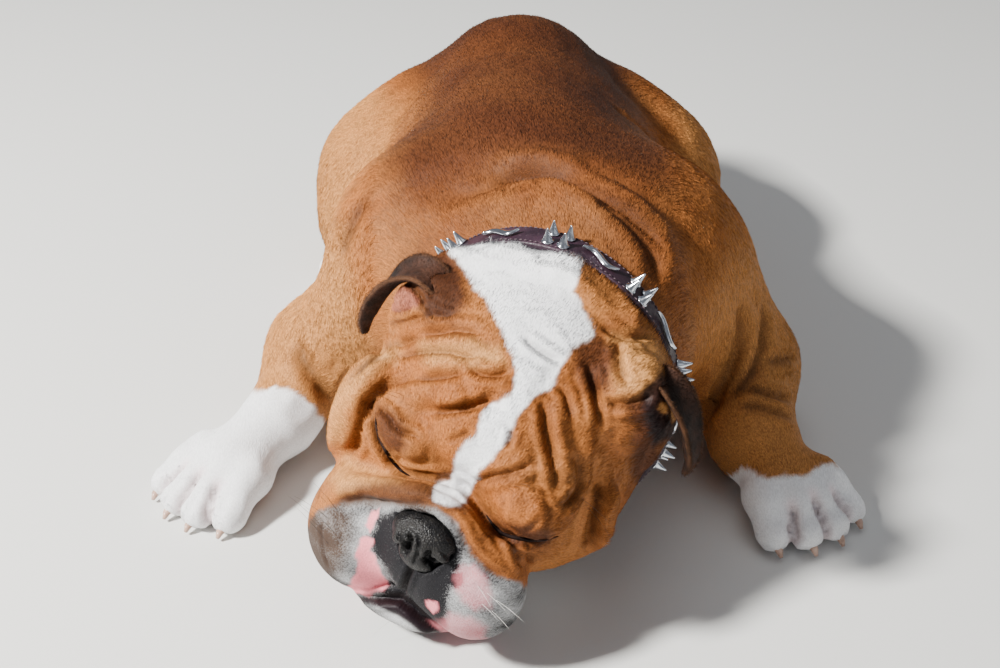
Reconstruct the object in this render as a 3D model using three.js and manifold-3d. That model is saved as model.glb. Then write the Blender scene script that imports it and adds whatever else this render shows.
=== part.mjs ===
// A life-size English bulldog asleep on its belly, chin on the ground, in a studded leather collar.
// Millimetres, +Z up. The dog lies facing -Y with its left side towards +X.
// The origin is on the floor under its belly.
// The flesh is one smooth blend of rounded masses, meshed region by region and parted by thin cuts.
import * as THREE from "three";
import { triTable } from "three/addons/objects/MarchingCubes.js";
import { mergeVertices } from "three/addons/utils/BufferGeometryUtils.js";
import Module from "manifold-3d";

const wasm = await Module();
wasm.setup();

const LIFE = 0.88; // everything is laid out a little large and brought to life size at the end
const GAP = 0.3 / LIFE; // clearance between neighbouring pieces
const V = (x, y, z) => new THREE.Vector3(x, y, z);
const deg = THREE.MathUtils.degToRad;
const clamp = THREE.MathUtils.clamp;
const mirrored = ([x, y, z], s) => [x * s, y, z];
const turned = ([x, y, z]) =>
  new THREE.Quaternion().setFromEuler(new THREE.Euler(deg(x), deg(y), deg(z), "ZYX"));
const SIDES = [
  { side: "left", s: 1 },
  { side: "right", s: -1 },
];

// Rounded masses and how they blend

// Distance to an ellipsoid, turned by angles in degrees about X, Y and Z.
function ellipsoid(at, [rx, ry, rz], turn = [0, 0, 0]) {
  const centre = V(...at);
  const back = turned(turn).invert();
  const q = V(0, 0, 0);
  return (p) => {
    q.copy(p).sub(centre).applyQuaternion(back);
    const k0 = Math.hypot(q.x / rx, q.y / ry, q.z / rz);
    const k1 = Math.hypot(q.x / (rx * rx), q.y / (ry * ry), q.z / (rz * rz));
    return k1 < 1e-9 ? -Math.min(rx, ry, rz) : (k0 * (k0 - 1)) / k1;
  };
}

// Distance to a limb segment: a cone from a to b with a ball at each end.
function segment(a, b, ra, rb) {
  const start = V(...a);
  const along = V(...b).sub(start);
  const length2 = along.lengthSq();
  const q = V(0, 0, 0);
  return (p) => {
    q.copy(p).sub(start);
    const t = clamp(q.dot(along) / length2, 0, 1);
    return q.addScaledVector(along, -t).length() - (ra + (rb - ra) * t);
  };
}

// The smooth union of two distances, where k is the width of the blend.
function blend(d1, d2, k) {
  const h = Math.max(k - Math.abs(d1 - d2), 0) / k;
  return Math.min(d1, d2) - (h * h * k) / 4;
}

// The smooth union of a list of masses.
function united(masses, k) {
  return (p) => masses.reduce((d, mass) => blend(d, mass(p), k), 1e3);
}

// A limb through joints given as [x, y, z, radius].
function limb(joints, k) {
  const segments = joints.slice(1).map((b, i) =>
    segment(joints[i].slice(0, 3), b.slice(0, 3), joints[i][3], b[3]));
  return united(segments, k);
}

// A fold of skin along a line of points: a positive height raises a roll, a negative one presses a crease.
function fold({ height, width, points }) {
  const lines = points.slice(1).map((b, i) => segment(points[i], b, 0, 0));
  return (p) => {
    const d = Math.min(...lines.map((line) => line(p))) / width;
    return d > 2.5 ? 0 : height * Math.exp(-d * d);
  };
}

// A mass with its folds laid on.
function folded(mass, folds) {
  return (p) => folds.reduce((d, f) => d - f(p), mass(p));
}

// Head, in its own frame: +Y runs back through the skull, +X to its left and +Z to its crown

const HEAD_AT = V(-14, -272, 119); // middle of the skull
const HEAD_TURN = turned([6, 8, -31]); // nose down, left side down, nose to its right
const HEAD_BACK = HEAD_TURN.clone().invert();
const fromHead = (x, y, z) => V(x, y, z).applyQuaternion(HEAD_TURN).add(HEAD_AT);
const EAR_BASES = { left: [80, 22, 79], right: [-74, 16, 81] };

// The head lies on its left cheek, so the loose skin hangs out on the right and is pushed in on the left.
const HEAD_MASSES = [
  ellipsoid([0, 22, 42], [88, 84, 64]), // cranium
  ellipsoid([0, -22, 40], [72, 48, 42]), // forehead
  ellipsoid([-4, 5, -42], [80, 80, 54]), // base of the jaw and throat
  ellipsoid([-6, -68, -28], [60, 46, 46]), // core of the muzzle
  ellipsoid([2, -92, 2], [36, 20, 26]), // bridge behind the nose
  ellipsoid([2, -96, -34], [30, 25, 28]), // pad under the nose
  ellipsoid([-62, -88, -51], [40, 36, 48], [0, 0, -16]), // right flew
  ellipsoid([34, -90, -40], [36, 33, 44], [0, 0, 10]), // left flew
  ellipsoid([-64, 0, -16], [48, 66, 60]), // right cheek
  ellipsoid([50, 2, -12], [40, 60, 58]), // left cheek
  ellipsoid([-80, -34, 0], [36, 38, 58]), // roll of the right cheek
  ellipsoid([-50, -58, 34], [24, 18, 18]), // right eye, shut
  ellipsoid([56, -62, 16], [24, 18, 18]), // left eye, shut
  ...SIDES.flatMap(({ side, s }) => [
    ellipsoid(mirrored([46, -48, 30], s), [34, 26, 28]), // brow
    ellipsoid(EAR_BASES[side], [26, 28, 24]), // base of the ear
    // burr
    ellipsoid([EAR_BASES[side][0] + 20 * s, EAR_BASES[side][1] - 8, EAR_BASES[side][2] - 22], [15, 11, 14]),
  ]),
];

// Rolls and creases of the loose skin. The two sides differ, because the head lies turned on its left cheek.
const FACE_FOLDS = [
  // nose roll
  { height: 7, width: 12, points:
    [[-80, -84, -16], [-70, -92, 0], [-38, -94, 17], [0, -97, 32], [32, -93, 25], [64, -90, -12]] },
  // stop, behind the nose roll
  { height: -9, width: 7, points: [[-40, -78, 19], [-12, -80, 32], [10, -74, 30], [42, -80, 15]] },
  // edge of the roll on the muzzle
  { height: -4, width: 5, points: [[-44, -102, 0], [-20, -106, 18], [20, -106, 22], [38, -108, 0]] },
  // groove under the nose
  { height: -4, width: 5, points: [[4, -120, -14], [1, -122, -36], [-6, -120, -58]] },
  // furrow of the crown
  { height: -5, width: 7, points: [[6, 0, 107], [20, -3, 105], [34, -6, 99]] },
  // forehead crease
  { height: -6, width: 6, points: [[-30, -57, 61], [-16, -55, 68], [0, -47, 75], [12, -43, 84]] },
  // slit of the right eye
  { height: -8, width: 6, points: [[-68, -63, 46], [-60, -71, 36], [-46, -79, 25], [-26, -84, 26]] },
  // its upper lid
  { height: 5, width: 8, points: [[-54, -66, 50], [-38, -73, 44], [-26, -74, 44]] },
  // crease over the lid
  { height: -5, width: 6, points: [[-68, -58, 56], [-49, -62, 62], [-32, -62, 60]] },
  // right brow crease
  { height: -6, width: 6, points:
    [[-82, -76, 4], [-76, -70, 24], [-74, -60, 44], [-68, -46, 60], [-52, -36, 72], [-34, -40, 80]] },
  // roll of the right cheek
  { height: 8, width: 11, points: [[-102, -54, -10], [-97, -62, 20], [-95, -48, 48], [-84, -34, 66]] },
  // crease behind it
  { height: -6, width: 7, points: [[-108, -34, -10], [-104, -36, 24], [-98, -22, 56]] },
  // slit of the left eye
  { height: -8, width: 6, points: [[38, -82, 18], [52, -83, 16], [64, -77, 13], [80, -56, 8]] },
  // its upper lid
  { height: 5, width: 8, points: [[44, -80, 30], [58, -74, 28], [71, -62, 24]] },
  // left brow crease
  { height: -5, width: 6, points: [[84, -28, 46], [78, -45, 42], [64, -57, 48], [54, -58, 50]] },
  // crease under the left ear
  { height: -7, width: 6, points: [[50, 10, 99], [57, 0, 93], [66, -9, 84], [74, -14, 74]] },
  // crease beside the furrow
  { height: -5, width: 6, points: [[38, -22, 91], [50, -42, 77], [54, -48, 62]] },
  // crease before the left cheek
  { height: -7, width: 6, points: [[90, -34, 40], [88, -34, 10], [84, -40, -24]] },
  // left cheek, hanging
  { height: 7, width: 10, points: [[95, -14, 24], [96, -14, -8], [90, -20, -40]] },
].map(fold);

// A distance worked out in the head's frame, for points of the whole dog.
function onHead(mass) {
  const q = V(0, 0, 0);
  return (p) => mass(q.copy(p).sub(HEAD_AT).applyQuaternion(HEAD_BACK));
}
const headSkin = onHead(folded(united(HEAD_MASSES, 16), FACE_FOLDS));

// The lower jaw shows as a strip of chin under the hanging lips.
const JAW_MASS = united([
  ellipsoid([-12, -58, -84], [56, 58, 24]),
  ellipsoid([-27, -92, -84], [43, 25, 20]),
], 14);

// The nose leather, a laid-back pad with two comma-shaped nostrils.
const NOSE_AT = [3, -107, 7];
const NOSE_MASS = (() => {
  const pad = united(
    [ellipsoid(NOSE_AT, [23, 14, 18], [-22, 0, 0]), ellipsoid([NOSE_AT[0], -112, -6], [13, 10, 13])],
    8,
  );
  const nostrils = SIDES.map(({ s }) =>
    limb([
      [NOSE_AT[0] + 9 * s, -123, 5, 4.6],
      [NOSE_AT[0] + 16 * s, -121, -2, 3],
      [NOSE_AT[0] + 22 * s, -113, -3, 2.4],
    ], 3),
  );
  const groove = segment([NOSE_AT[0], -124, 16], [NOSE_AT[0], -124, -16], 1.6, 2.2);
  return (p) => Math.max(pad(p), ...nostrils.map((hole) => -hole(p)), -groove(p));
})();

// The collar's ring, which also parts the head from the neck

const COLLAR = { at: V(11, -215, 145.5), turn: turned([-4, 0, -25]), width: 22, thickness: 4.5, steps: 44 };
const SPIKE_GROUPS = [-43, 5, 42, 79, 116]; // degrees round the neck from its top, towards the dog's left
const PLATES = [-19, 23, 60, 97];
const BUCKLE = 178;

// A point on or above the ring: an angle round it, a distance along the neck, and a radius.
function onRing(angle, along, radius) {
  const out = V(Math.sin(deg(angle)), 0, Math.cos(deg(angle))).multiplyScalar(radius);
  return out.add(V(0, along, 0)).applyQuaternion(COLLAR.turn).add(COLLAR.at);
}

// Body, laid out along the middle of the back

const TORSO_MASSES = [
  ellipsoid([4, -30, 128], [150, 146, 134]), // rib cage
  ellipsoid([4, 95, 118], [138, 150, 130]), // belly and loin
  ellipsoid([0, 218, 126], [104, 108, 121]), // rump
  ellipsoid([12, -128, 92], [96, 62, 80]), // breast
  segment([4, -70, 192], [0, 190, 180], 62, 56), // back
  segment([44, -138, 158], [10, -222, 140], 102, 96), // neck
  ellipsoid([104, -80, 154], [76, 84, 84]), // left shoulder
  ellipsoid([-84, -66, 150], [74, 74, 84]), // right shoulder
];
const BODY_FOLDS = [
  // roll behind the collar
  { height: 8, width: 20, points: [[-66, -134, 216], [20, -164, 262], [104, -196, 226]] },
  // crease behind that roll
  { height: -9, width: 12, points: [[-88, -104, 206], [24, -130, 268], [128, -164, 210]] },
  // roll before the collar
  { height: 20, width: 12, points:
    [-70, -35, 0, 35, 70, 105].map((angle) => onRing(angle, -24, 109).toArray()) },
].map(fold);
const bodySkin = folded(united(TORSO_MASSES, 42), BODY_FOLDS);

// Legs: each foreleg is folded under its shoulder and each hind leg is tucked along the belly

const PAW = { length: 110, toeGap: 25, toeRadius: 13.5, padHeight: 26 };
const FORELEGS = {
  left: { joints: [[126, -76, 136, 68], [183, -84, 58, 46], [184, -157, 38, 36]], heading: 26, paw: PAW },
  right: {
    joints: [[-104, -84, 128, 56], [-172, -60, 56, 42], [-196, -131, 37, 31]],
    heading: -38,
    paw: { ...PAW, length: 121 }, // stretched out further than the left
  },
};
const HIND_LEG = { joints: [[138, 112, 60, 30], [138, 246, 36, 25], [156, 190, 22, 19]], heading: 9 };
const HIND_PAW = { length: 82, toeGap: 18, toeRadius: 11.5, padHeight: 22 };
const THIGH_MASSES = [
  { at: [118, 175, 100], radii: [80, 110, 80] }, // ham
  { at: [136, 108, 78], radii: [48, 56, 48] }, // knee
  { at: [78, 222, 132], radii: [66, 70, 68] }, // hip
];
const TOES = [-1.5, -0.5, 0.5, 1.5];

// Points in a paw's own directions: forward along its heading, across it and up.
function pawFrame([x, y], heading) {
  const [sin, cos] = [Math.sin(deg(heading)), Math.cos(deg(heading))];
  return (forward, across, up) => [x + forward * sin + across * cos, y - forward * cos + across * sin, up];
}

// The ends of a toe, its knuckle and its tip, where toe counts across the paw from its middle.
function toeEnds(place, size, toe) {
  const reach = size.length - 5 * toe * toe - size.toeRadius;
  return [
    place(size.length * 0.5, toe * size.toeGap * 0.72, size.padHeight + 6),
    place(reach, toe * size.toeGap, size.toeRadius - 2),
  ];
}

function pawMass(wrist, heading, size) {
  const place = pawFrame(wrist, heading);
  const toes = TOES.map((toe) => {
    const [knuckle, tip] = toeEnds(place, size, toe);
    return segment(knuckle, tip, size.toeRadius * 1.1, size.toeRadius);
  });
  const middle = size.length * 0.5;
  const palm = segment(place(0, 0, wrist[2]), place(middle, 0, size.padHeight), wrist[3], size.padHeight);
  const sole = ellipsoid(place(middle, 0, size.padHeight - 6), [size.toeGap * 1.7, 30, 22], [0, 0, heading]);
  const foot = united([palm, sole], 14);
  const fingers = united(toes, 3);
  return (p) => blend(foot(p), fingers(p), 9);
}

// Every claw of a paw, a small cone from within the end of its toe to the ground in front.
function claws([x, y], heading, size) {
  const place = pawFrame([x, y], heading);
  return TOES.map((toe) => {
    const reach = size.length - 5 * toe * toe - 5;
    const from = V(...place(reach - 4, toe * size.toeGap, 14));
    const to = V(...place(reach + 6, toe * size.toeGap, 6));
    const cone = new THREE.CylinderGeometry(1.3, 4, from.distanceTo(to), 7);
    const turn = new THREE.Quaternion().setFromUnitVectors(V(0, 1, 0), to.clone().sub(from).normalize());
    cone.applyQuaternion(turn).translate(...from.lerp(to, 0.5).toArray());
    return solid(cone);
  });
}

const hindLeg = (s) => ({
  wrist: [...mirrored(HIND_LEG.joints[2], s), HIND_LEG.joints[2][3]],
  heading: HIND_LEG.heading * s,
});

const foreSkins = Object.values(FORELEGS).map(({ joints, heading, paw: size }) => {
  const arm = limb(joints, 26);
  const paw = pawMass(joints[2], heading, size);
  return (p) => blend(arm(p), paw(p), 12);
});
const hindSkins = SIDES.map(({ s }) => {
  const thigh = united(THIGH_MASSES.map(({ at, radii }) => ellipsoid(mirrored(at, s), radii)), 30);
  const foot = limb(HIND_LEG.joints.map((joint) => [...mirrored(joint, s), joint[3]]), 10);
  const { wrist, heading } = hindLeg(s);
  const paw = pawMass(wrist, heading, HIND_PAW);
  return (p) => blend(thigh(p), blend(foot(p), paw(p), 10), 10);
});
const legSkin = (p) => Math.min(...[...foreSkins, ...hindSkins].map((leg) => leg(p)));

const TAIL = [[0, 306, 172, 27], [0, 344, 146, 17], [3, 352, 112, 9]];
const tailSkin = limb(TAIL, 12);

const dogSkin = (p) => {
  const trunk = blend(blend(bodySkin(p), headSkin(p), 30), legSkin(p), 16);
  return blend(trunk, tailSkin(p), 12);
};
const DOG_LOW = V(-360, -440, -40);
const DOG_HIGH = V(360, 400, 320);

// Turning a mass into a closed mesh

const CORNERS = [[0, 0, 0], [1, 0, 0], [1, 1, 0], [0, 1, 0], [0, 0, 1], [1, 0, 1], [1, 1, 1], [0, 1, 1]];
// Each edge of a cell as its first corner and the axis that it follows.
const EDGES = [
  [0, 0], [1, 1], [3, 0], [0, 1], [4, 0], [5, 1],
  [7, 0], [4, 1], [0, 2], [1, 2], [2, 2], [3, 2],
];

// Marching cubes over the box from low to high.
// The box's own faces close the mesh where the mass runs on past them.
function marched(mass, low, high, cell) {
  const half = V(...high).sub(V(...low)).multiplyScalar(0.5);
  const middle = V(...low).add(half);
  const q = V(0, 0, 0);
  const boxed = (p) => {
    q.copy(p).sub(middle);
    const out = Math.max(Math.abs(q.x) - half.x, Math.abs(q.y) - half.y, Math.abs(q.z) - half.z);
    return Math.max(mass(p), out + cell * 1.3);
  };
  const n = [0, 1, 2].map((i) => Math.ceil((high[i] - low[i]) / cell) + 1);
  const step = [1, n[0], n[0] * n[1]];
  const at = (index) => {
    const k = Math.floor(index / step[2]);
    const j = Math.floor((index - k * step[2]) / step[1]);
    return V(low[0] + (index - k * step[2] - j * step[1]) * cell, low[1] + j * cell, low[2] + k * cell);
  };
  const values = Float64Array.from({ length: n[0] * n[1] * n[2] }, (_, i) => boxed(at(i)));
  const points = [];
  const triangles = [];
  const known = new Map();
  const pointOn = (corner, axis) => {
    const key = corner * 3 + axis;
    if (!known.has(key)) {
      const [a, b] = [values[corner], values[corner + step[axis]]];
      const t = clamp(a / (a - b), 0.1, 0.9);
      const p = at(corner);
      p.setComponent(axis, p.getComponent(axis) + t * cell);
      known.set(key, points.push(p) - 1);
    }
    return known.get(key);
  };
  for (let k = 0; k < n[2] - 1; k++)
    for (let j = 0; j < n[1] - 1; j++)
      for (let i = 0; i < n[0] - 1; i++) {
        const origin = i * step[0] + j * step[1] + k * step[2];
        const corners = CORNERS.map((c) => origin + c[0] * step[0] + c[1] * step[1] + c[2] * step[2]);
        const index = corners.reduce((bits, corner, b) => bits | (values[corner] > 0 ? 1 << b : 0), 0);
        for (let t = index * 16; triTable[t] !== -1; t += 3) {
          const face = [0, 1, 2].map((m) => EDGES[triTable[t + m]]);
          triangles.push(face.map(([corner, axis]) => pointOn(corners[corner], axis)));
        }
      }
  return { mass: boxed, points, triangles, cell };
}

// Each point's neighbours in a mesh.
function neighboursOf({ points, triangles }) {
  const near = points.map(() => new Set());
  for (const [a, b, c] of triangles) {
    near[a].add(b).add(c);
    near[b].add(c).add(a);
    near[c].add(a).add(b);
  }
  return near;
}

// Evens out a mesh: each point moves towards the middle of its neighbours and back onto the mass's surface.
function relax(mesh, rounds) {
  const near = neighboursOf(mesh);
  const probe = V(0, 0, 0);
  const slope = V(0, 0, 0);
  const reach = mesh.cell * 0.1;
  for (let round = 0; round < rounds; round++)
    mesh.points.forEach((p, i) => {
      if (!near[i].size) return;
      const middle = V(0, 0, 0);
      for (const j of near[i]) middle.add(mesh.points[j]);
      p.lerp(middle.divideScalar(near[i].size), 0.5);
      for (let axis = 0; axis < 3; axis++) {
        probe.copy(p).setComponent(axis, p.getComponent(axis) + reach);
        const ahead = mesh.mass(probe);
        probe.setComponent(axis, p.getComponent(axis) - reach);
        slope.setComponent(axis, (ahead - mesh.mass(probe)) / (2 * reach));
      }
      const off = mesh.mass(p) / Math.max(slope.lengthSq(), 0.3);
      p.addScaledVector(slope, -clamp(off, -mesh.cell / 2, mesh.cell / 2));
    });
}

// Joins the ends of edges shorter than edgeAt(point), wherever the surface stays one closed sheet
// and keeps its facing.
function coarsen(mesh, edgeAt) {
  const { points, triangles } = mesh;
  const faces = points.map(() => new Set());
  triangles.forEach((t, i) => t.forEach((p) => faces[p].add(i)));
  const normal = (t) => {
    const [a, b, c] = t.map((p) => points[p]);
    return b.clone().sub(a).cross(c.clone().sub(a)).normalize();
  };
  const around = (p) => new Set([...faces[p]].flatMap((f) => triangles[f]));
  for (let i = 0; i < triangles.length; i++)
    for (let m = 0; m < 3; m++) {
      const t = triangles[i];
      if (!t) break;
      const [keep, drop] = [t[m], t[(m + 1) % 3]];
      if (points[keep].distanceTo(points[drop]) > edgeAt(points[keep])) continue;
      const shared = [...around(keep)].filter((p) => p !== keep && p !== drop && around(drop).has(p));
      if (shared.length !== 2) continue;
      const moved = [...new Set([...faces[keep], ...faces[drop]])].filter(
        (f) => !(triangles[f].includes(keep) && triangles[f].includes(drop)),
      );
      const before = moved.map((f) => normal(triangles[f]));
      const [oldKeep, oldDrop] = [points[keep].clone(), points[drop].clone()];
      points[keep].lerp(oldDrop, 0.5);
      points[drop].copy(points[keep]);
      if (moved.some((f, j) => normal(triangles[f]).dot(before[j]) < 0.55)) {
        points[keep].copy(oldKeep);
        points[drop].copy(oldDrop);
        continue;
      }
      for (const f of [...faces[drop]]) {
        if (triangles[f].includes(keep)) {
          triangles[f].forEach((p) => faces[p].delete(f));
          triangles[f] = null;
          continue;
        }
        triangles[f] = triangles[f].map((p) => (p === drop ? keep : p));
        faces[keep].add(f);
      }
      faces[drop].clear();
    }
  mesh.triangles = triangles.filter(Boolean);
}

function meshed(mass, low, high, cell, edgeAt = () => cell) {
  const mesh = marched(mass, low, high, cell);
  relax(mesh, 2);
  coarsen(mesh, (p) => edgeAt(p) * 0.5);
  coarsen(mesh, (p) => edgeAt(p) * 0.85);
  relax(mesh, 3);
  const geometry = new THREE.BufferGeometry();
  const positions = mesh.points.flatMap((p) => p.toArray());
  geometry.setAttribute("position", new THREE.Float32BufferAttribute(positions, 3));
  geometry.setIndex(mesh.triangles.flat());
  return geometry;
}

// Cutting and joining

function solid(geometry) {
  const plain = geometry.clone();
  plain.deleteAttribute("normal");
  plain.deleteAttribute("uv");
  const merged = mergeVertices(plain, 1e-3);
  const triVerts = new Uint32Array(merged.index.array);
  const vertProperties = merged.attributes.position.array;
  return new wasm.Manifold(new wasm.Mesh({ numProp: 3, vertProperties, triVerts }));
}

function geometryOf(manifold) {
  const { vertProperties, triVerts, numProp } = manifold.getMesh();
  const geometry = new THREE.BufferGeometry();
  const positions = new Float32Array((vertProperties.length / numProp) * 3);
  for (let i = 0; i < positions.length / 3; i++)
    positions.set(vertProperties.subarray(i * numProp, i * numProp + 3), i * 3);
  geometry.setAttribute("position", new THREE.BufferAttribute(positions, 3));
  geometry.setIndex(new THREE.BufferAttribute(triVerts, 1));
  return geometry;
}

// The largest closed body, without loose scraps.
const largest = (manifold) => manifold.decompose().reduce((a, b) => (b.volume() > a.volume() ? b : a));

// The same surface moved outwards by a distance, to leave a gap round a piece.
function grown(manifold, by) {
  const geometry = mergeVertices(geometryOf(manifold), 1e-3);
  geometry.computeVertexNormals();
  const { position, normal } = geometry.attributes;
  const corner = (i) => V(0, 0, 0).fromBufferAttribute(position, i);
  const along = (i) => V(0, 0, 0).fromBufferAttribute(normal, i);
  const spread = new Array(position.count).fill(1);
  const index = geometry.index.array;
  for (let i = 0; i < index.length; i += 3) {
    const [a, b, c] = [0, 1, 2].map((m) => corner(index[i + m]));
    const facing = b.sub(a).cross(c.sub(a)).normalize();
    for (let m = 0; m < 3; m++) {
      const v = index[i + m];
      spread[v] = Math.max(Math.min(spread[v], facing.dot(along(v))), 0.35);
    }
  }
  const moved = spread.map((least, i) => corner(i).addScaledVector(along(i), by / least));
  moved.forEach((p, i) => position.setXYZ(i, p.x, p.y, p.z));
  geometry.deleteAttribute("normal");
  return solid(geometry);
}

// A box for parting the flesh, from its middle, size and turn, made larger by a gap on every side.
function cutter({ at, size, turn = new THREE.Quaternion() }, gap = 0) {
  const geometry = new THREE.BoxGeometry(...size.map((length) => length + 2 * gap));
  geometry.applyQuaternion(turn).translate(...at);
  return solid(geometry);
}

const FLOOR = cutter({ at: [0, 0, -250], size: [2000, 2000, 500] });

// The collar's hoop

// How far out the skin lies at an angle round the ring.
function neckRadius(angle, along) {
  for (let radius = 70; radius < 128; radius += 0.5) {
    if (dogSkin(onRing(angle, along, radius)) > 0) return radius;
  }
  return 128;
}

// The strap's inner radius at both edges, evened out so that the strap stays a smooth hoop.
const hoop = (() => {
  const angles = Array.from({ length: COLLAR.steps }, (_, i) => (i * 360) / COLLAR.steps);
  let edges = [-1, 1].map((end) => angles.map((angle) => neckRadius(angle, (end * COLLAR.width) / 2)));
  for (let round = 0; round < 4; round++)
    edges = edges.map((radii) =>
      radii.map((radius, i) => (radii.at(i - 1) + 2 * radius + radii[(i + 1) % radii.length]) / 4),
    );
  return (angle, along) => {
    const place = ((((angle % 360) + 360) % 360) / 360) * COLLAR.steps;
    const [i, part] = [Math.floor(place), place % 1];
    const [front, back] = edges.map((radii) => radii[i] * (1 - part) + radii[(i + 1) % COLLAR.steps] * part);
    return THREE.MathUtils.lerp(front, back, along / COLLAR.width + 0.5) - 1.5;
  };
})();

// A closed mesh with its faces turned outwards.
function facingOut(geometry) {
  const { array } = geometry.attributes.position;
  const index = geometry.index.array;
  const corner = (i) => V(array[3 * i], array[3 * i + 1], array[3 * i + 2]);
  let volume = 0;
  for (let i = 0; i < index.length; i += 3)
    volume += corner(index[i]).dot(corner(index[i + 1]).cross(corner(index[i + 2])));
  if (volume < 0) {
    for (let i = 0; i < index.length; i += 3) [index[i], index[i + 1]] = [index[i + 1], index[i]];
  }
  return geometry;
}

// A closed ring of equal cross-sections, each a loop of points.
function ring(sections) {
  const loop = sections[0].length;
  const index = [];
  sections.forEach((_, i) => {
    const next = ((i + 1) % sections.length) * loop;
    for (let j = 0; j < loop; j++) {
      const k = (j + 1) % loop;
      index.push(i * loop + j, next + j, next + k, i * loop + j, next + k, i * loop + k);
    }
  });
  const geometry = new THREE.BufferGeometry();
  const positions = sections.flat().flatMap((p) => p.toArray());
  geometry.setAttribute("position", new THREE.Float32BufferAttribute(positions, 3));
  geometry.setIndex(index);
  return facingOut(geometry);
}

// The strap, or with a gap added all round the room that it needs.
function strapBand(gap) {
  const half = COLLAR.width / 2 + gap;
  const top = COLLAR.thickness + gap;
  const profile = [
    [-half, -gap], [half, -gap], [half, top - 1],
    [half - 1, top], [1 - half, top], [-half, top - 1],
  ];
  const angles = Array.from({ length: COLLAR.steps }, (_, i) => (i * 360) / COLLAR.steps);
  return solid(
    ring(angles.map((angle) =>
      profile.map(([along, height]) => onRing(angle, along, hoop(angle, along) + height)))),
  );
}
const strap = strapBand(0);

// A small metal piece set upright on the strap.
function onStrap(geometry, angle, along) {
  const base = onRing(angle, along, hoop(angle, along) + COLLAR.thickness + GAP);
  const out = onRing(angle, along, 200).sub(onRing(angle, along, 0)).normalize();
  const back = V(0, 1, 0).applyQuaternion(COLLAR.turn);
  const slope = (hoop(angle, 12) - hoop(angle, -12)) / 24;
  const up = out.addScaledVector(back, -slope).normalize();
  const side = back.clone().cross(up).normalize();
  const frame = new THREE.Matrix4().makeBasis(side, up.clone().cross(side), up).setPosition(base);
  return solid(geometry.clone().applyMatrix4(frame));
}

const SPIKE = { foot: 4, tip: 0.5, height: 11, apart: 12.5, rows: 11 };
const spikeShape = new THREE.CylinderGeometry(SPIKE.tip, SPIKE.foot, SPIKE.height, 8)
  .rotateX(Math.PI / 2)
  .translate(0, 0, SPIKE.height / 2);

// A wavy plate, drawn as two shallow waves between pointed ends.
const PLATE = { length: 30, width: 6.5, wave: 3.2, thickness: 1.4 };
const plateShape = (() => {
  const wave = (t) => PLATE.wave * Math.sin(t * Math.PI * 2);
  const half = (t) => (PLATE.width / 2) * Math.sin(t * Math.PI) ** 0.6;
  const ts = Array.from({ length: 9 }, (_, i) => i / 8);
  const side = (way) => ts.map((t) => new THREE.Vector2((t - 0.5) * PLATE.length, wave(t) + way * half(t)));
  const outline = new THREE.Shape([...side(-1), ...side(1).slice(1, -1).reverse()]);
  return new THREE.ExtrudeGeometry(outline, { depth: PLATE.thickness, bevelEnabled: false });
})();

// The buckle, a rounded frame laid on the strap under the throat.
const buckleShape = (() => {
  const [w, h, r] = [13, 17, 1.9];
  const corners = [[-w, -h], [0, -h], [w, -h], [w, 0], [w, h], [0, h], [-w, h], [-w, 0]];
  const sections = corners.map(([x, y]) => {
    const out = V(x, y, 0).normalize();
    return [0, 1, 2, 3, 4, 5].map((i) => {
      const a = (i * Math.PI) / 3;
      return V(x, y, r).addScaledVector(out, -Math.cos(a) * r).add(V(0, 0, Math.sin(a) * r));
    });
  });
  return ring(sections);
})();

// Regions of the flesh, each cut out by a solid: what an earlier one takes, a later one leaves

// A tapered drum along the neck, from one distance behind the collar's middle to another.
function drum([from, radiusFrom], [to, radiusTo]) {
  return (gap) => {
    const geometry = new THREE.CylinderGeometry(radiusTo + gap, radiusFrom + gap, to - from + 2 * gap, 24);
    geometry.translate(0, (from + to) / 2, 0).applyQuaternion(COLLAR.turn).translate(...COLLAR.at.toArray());
    return solid(geometry);
  };
}

// A box whose inner face passes through a point, facing along a direction given by its turn's +X.
function slab(at, size, turn) {
  return (gap) => cutter({ at, size, turn: turned(turn) }, gap);
}

function pawBox(wrist, heading, { length }, behind, height) {
  const at = pawFrame(wrist, heading)(behind + length * 0.7, 0, height / 2 - 40);
  return slab(at, [150, length * 1.4, height + 80], [0, 0, heading]);
}

const REGIONS = [
  { name: "head", cut: drum([-260, 190], [-1, 122]), cell: 6 },
  {
    name: "forepaw_left",
    cut: pawBox(FORELEGS.left.joints[2], FORELEGS.left.heading, PAW, 16, 90),
    cell: 8.5,
  },
  {
    name: "forepaw_right",
    cut: pawBox(FORELEGS.right.joints[2], FORELEGS.right.heading, PAW, 14, 90),
    cell: 8.5,
  },
  { name: "tail", cut: slab([0, 392, 130], [80, 110, 150], [16, 0, 0]), cell: 9 },
  { name: "neck", cut: drum([-1, 122], [62, 146]), cell: 16 },
  { name: "forearm_left", cut: slab([204, -156, 0], [110, 190, 150], [-34, 0, 0]), cell: 13 },
  { name: "forearm_right", cut: slab([-210, -128, 0], [116, 190, 150], [-34, 0, 0]), cell: 13 },
  ...SIDES.flatMap(({ side, s }) => [
    { name: `upper_arm_${side}`, cut: slab([240 * s, -96, 150], [200, 236, 340], [0, -14 * s, 0]), cell: 15 },
    { name: `hind_paw_${side}`, cut: slab([172 * s, 122, 0], [104, 156, 84], [0, 0, 9 * s]), cell: 9 },
    { name: `lower_hindleg_${side}`, cut: slab([170 * s, 190, 0], [136, 290, 120], [0, 0, 0]), cell: 13 },
    { name: `thigh_${side}`, cut: slab([208 * s, 190, 170], [200, 290, 330], [0, -20 * s, 0]), cell: 17 },
  ]),
];
const TORSO_CELL = 22;
const FACE_EDGE = 6;
const NAPE_EDGE = 12;

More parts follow.
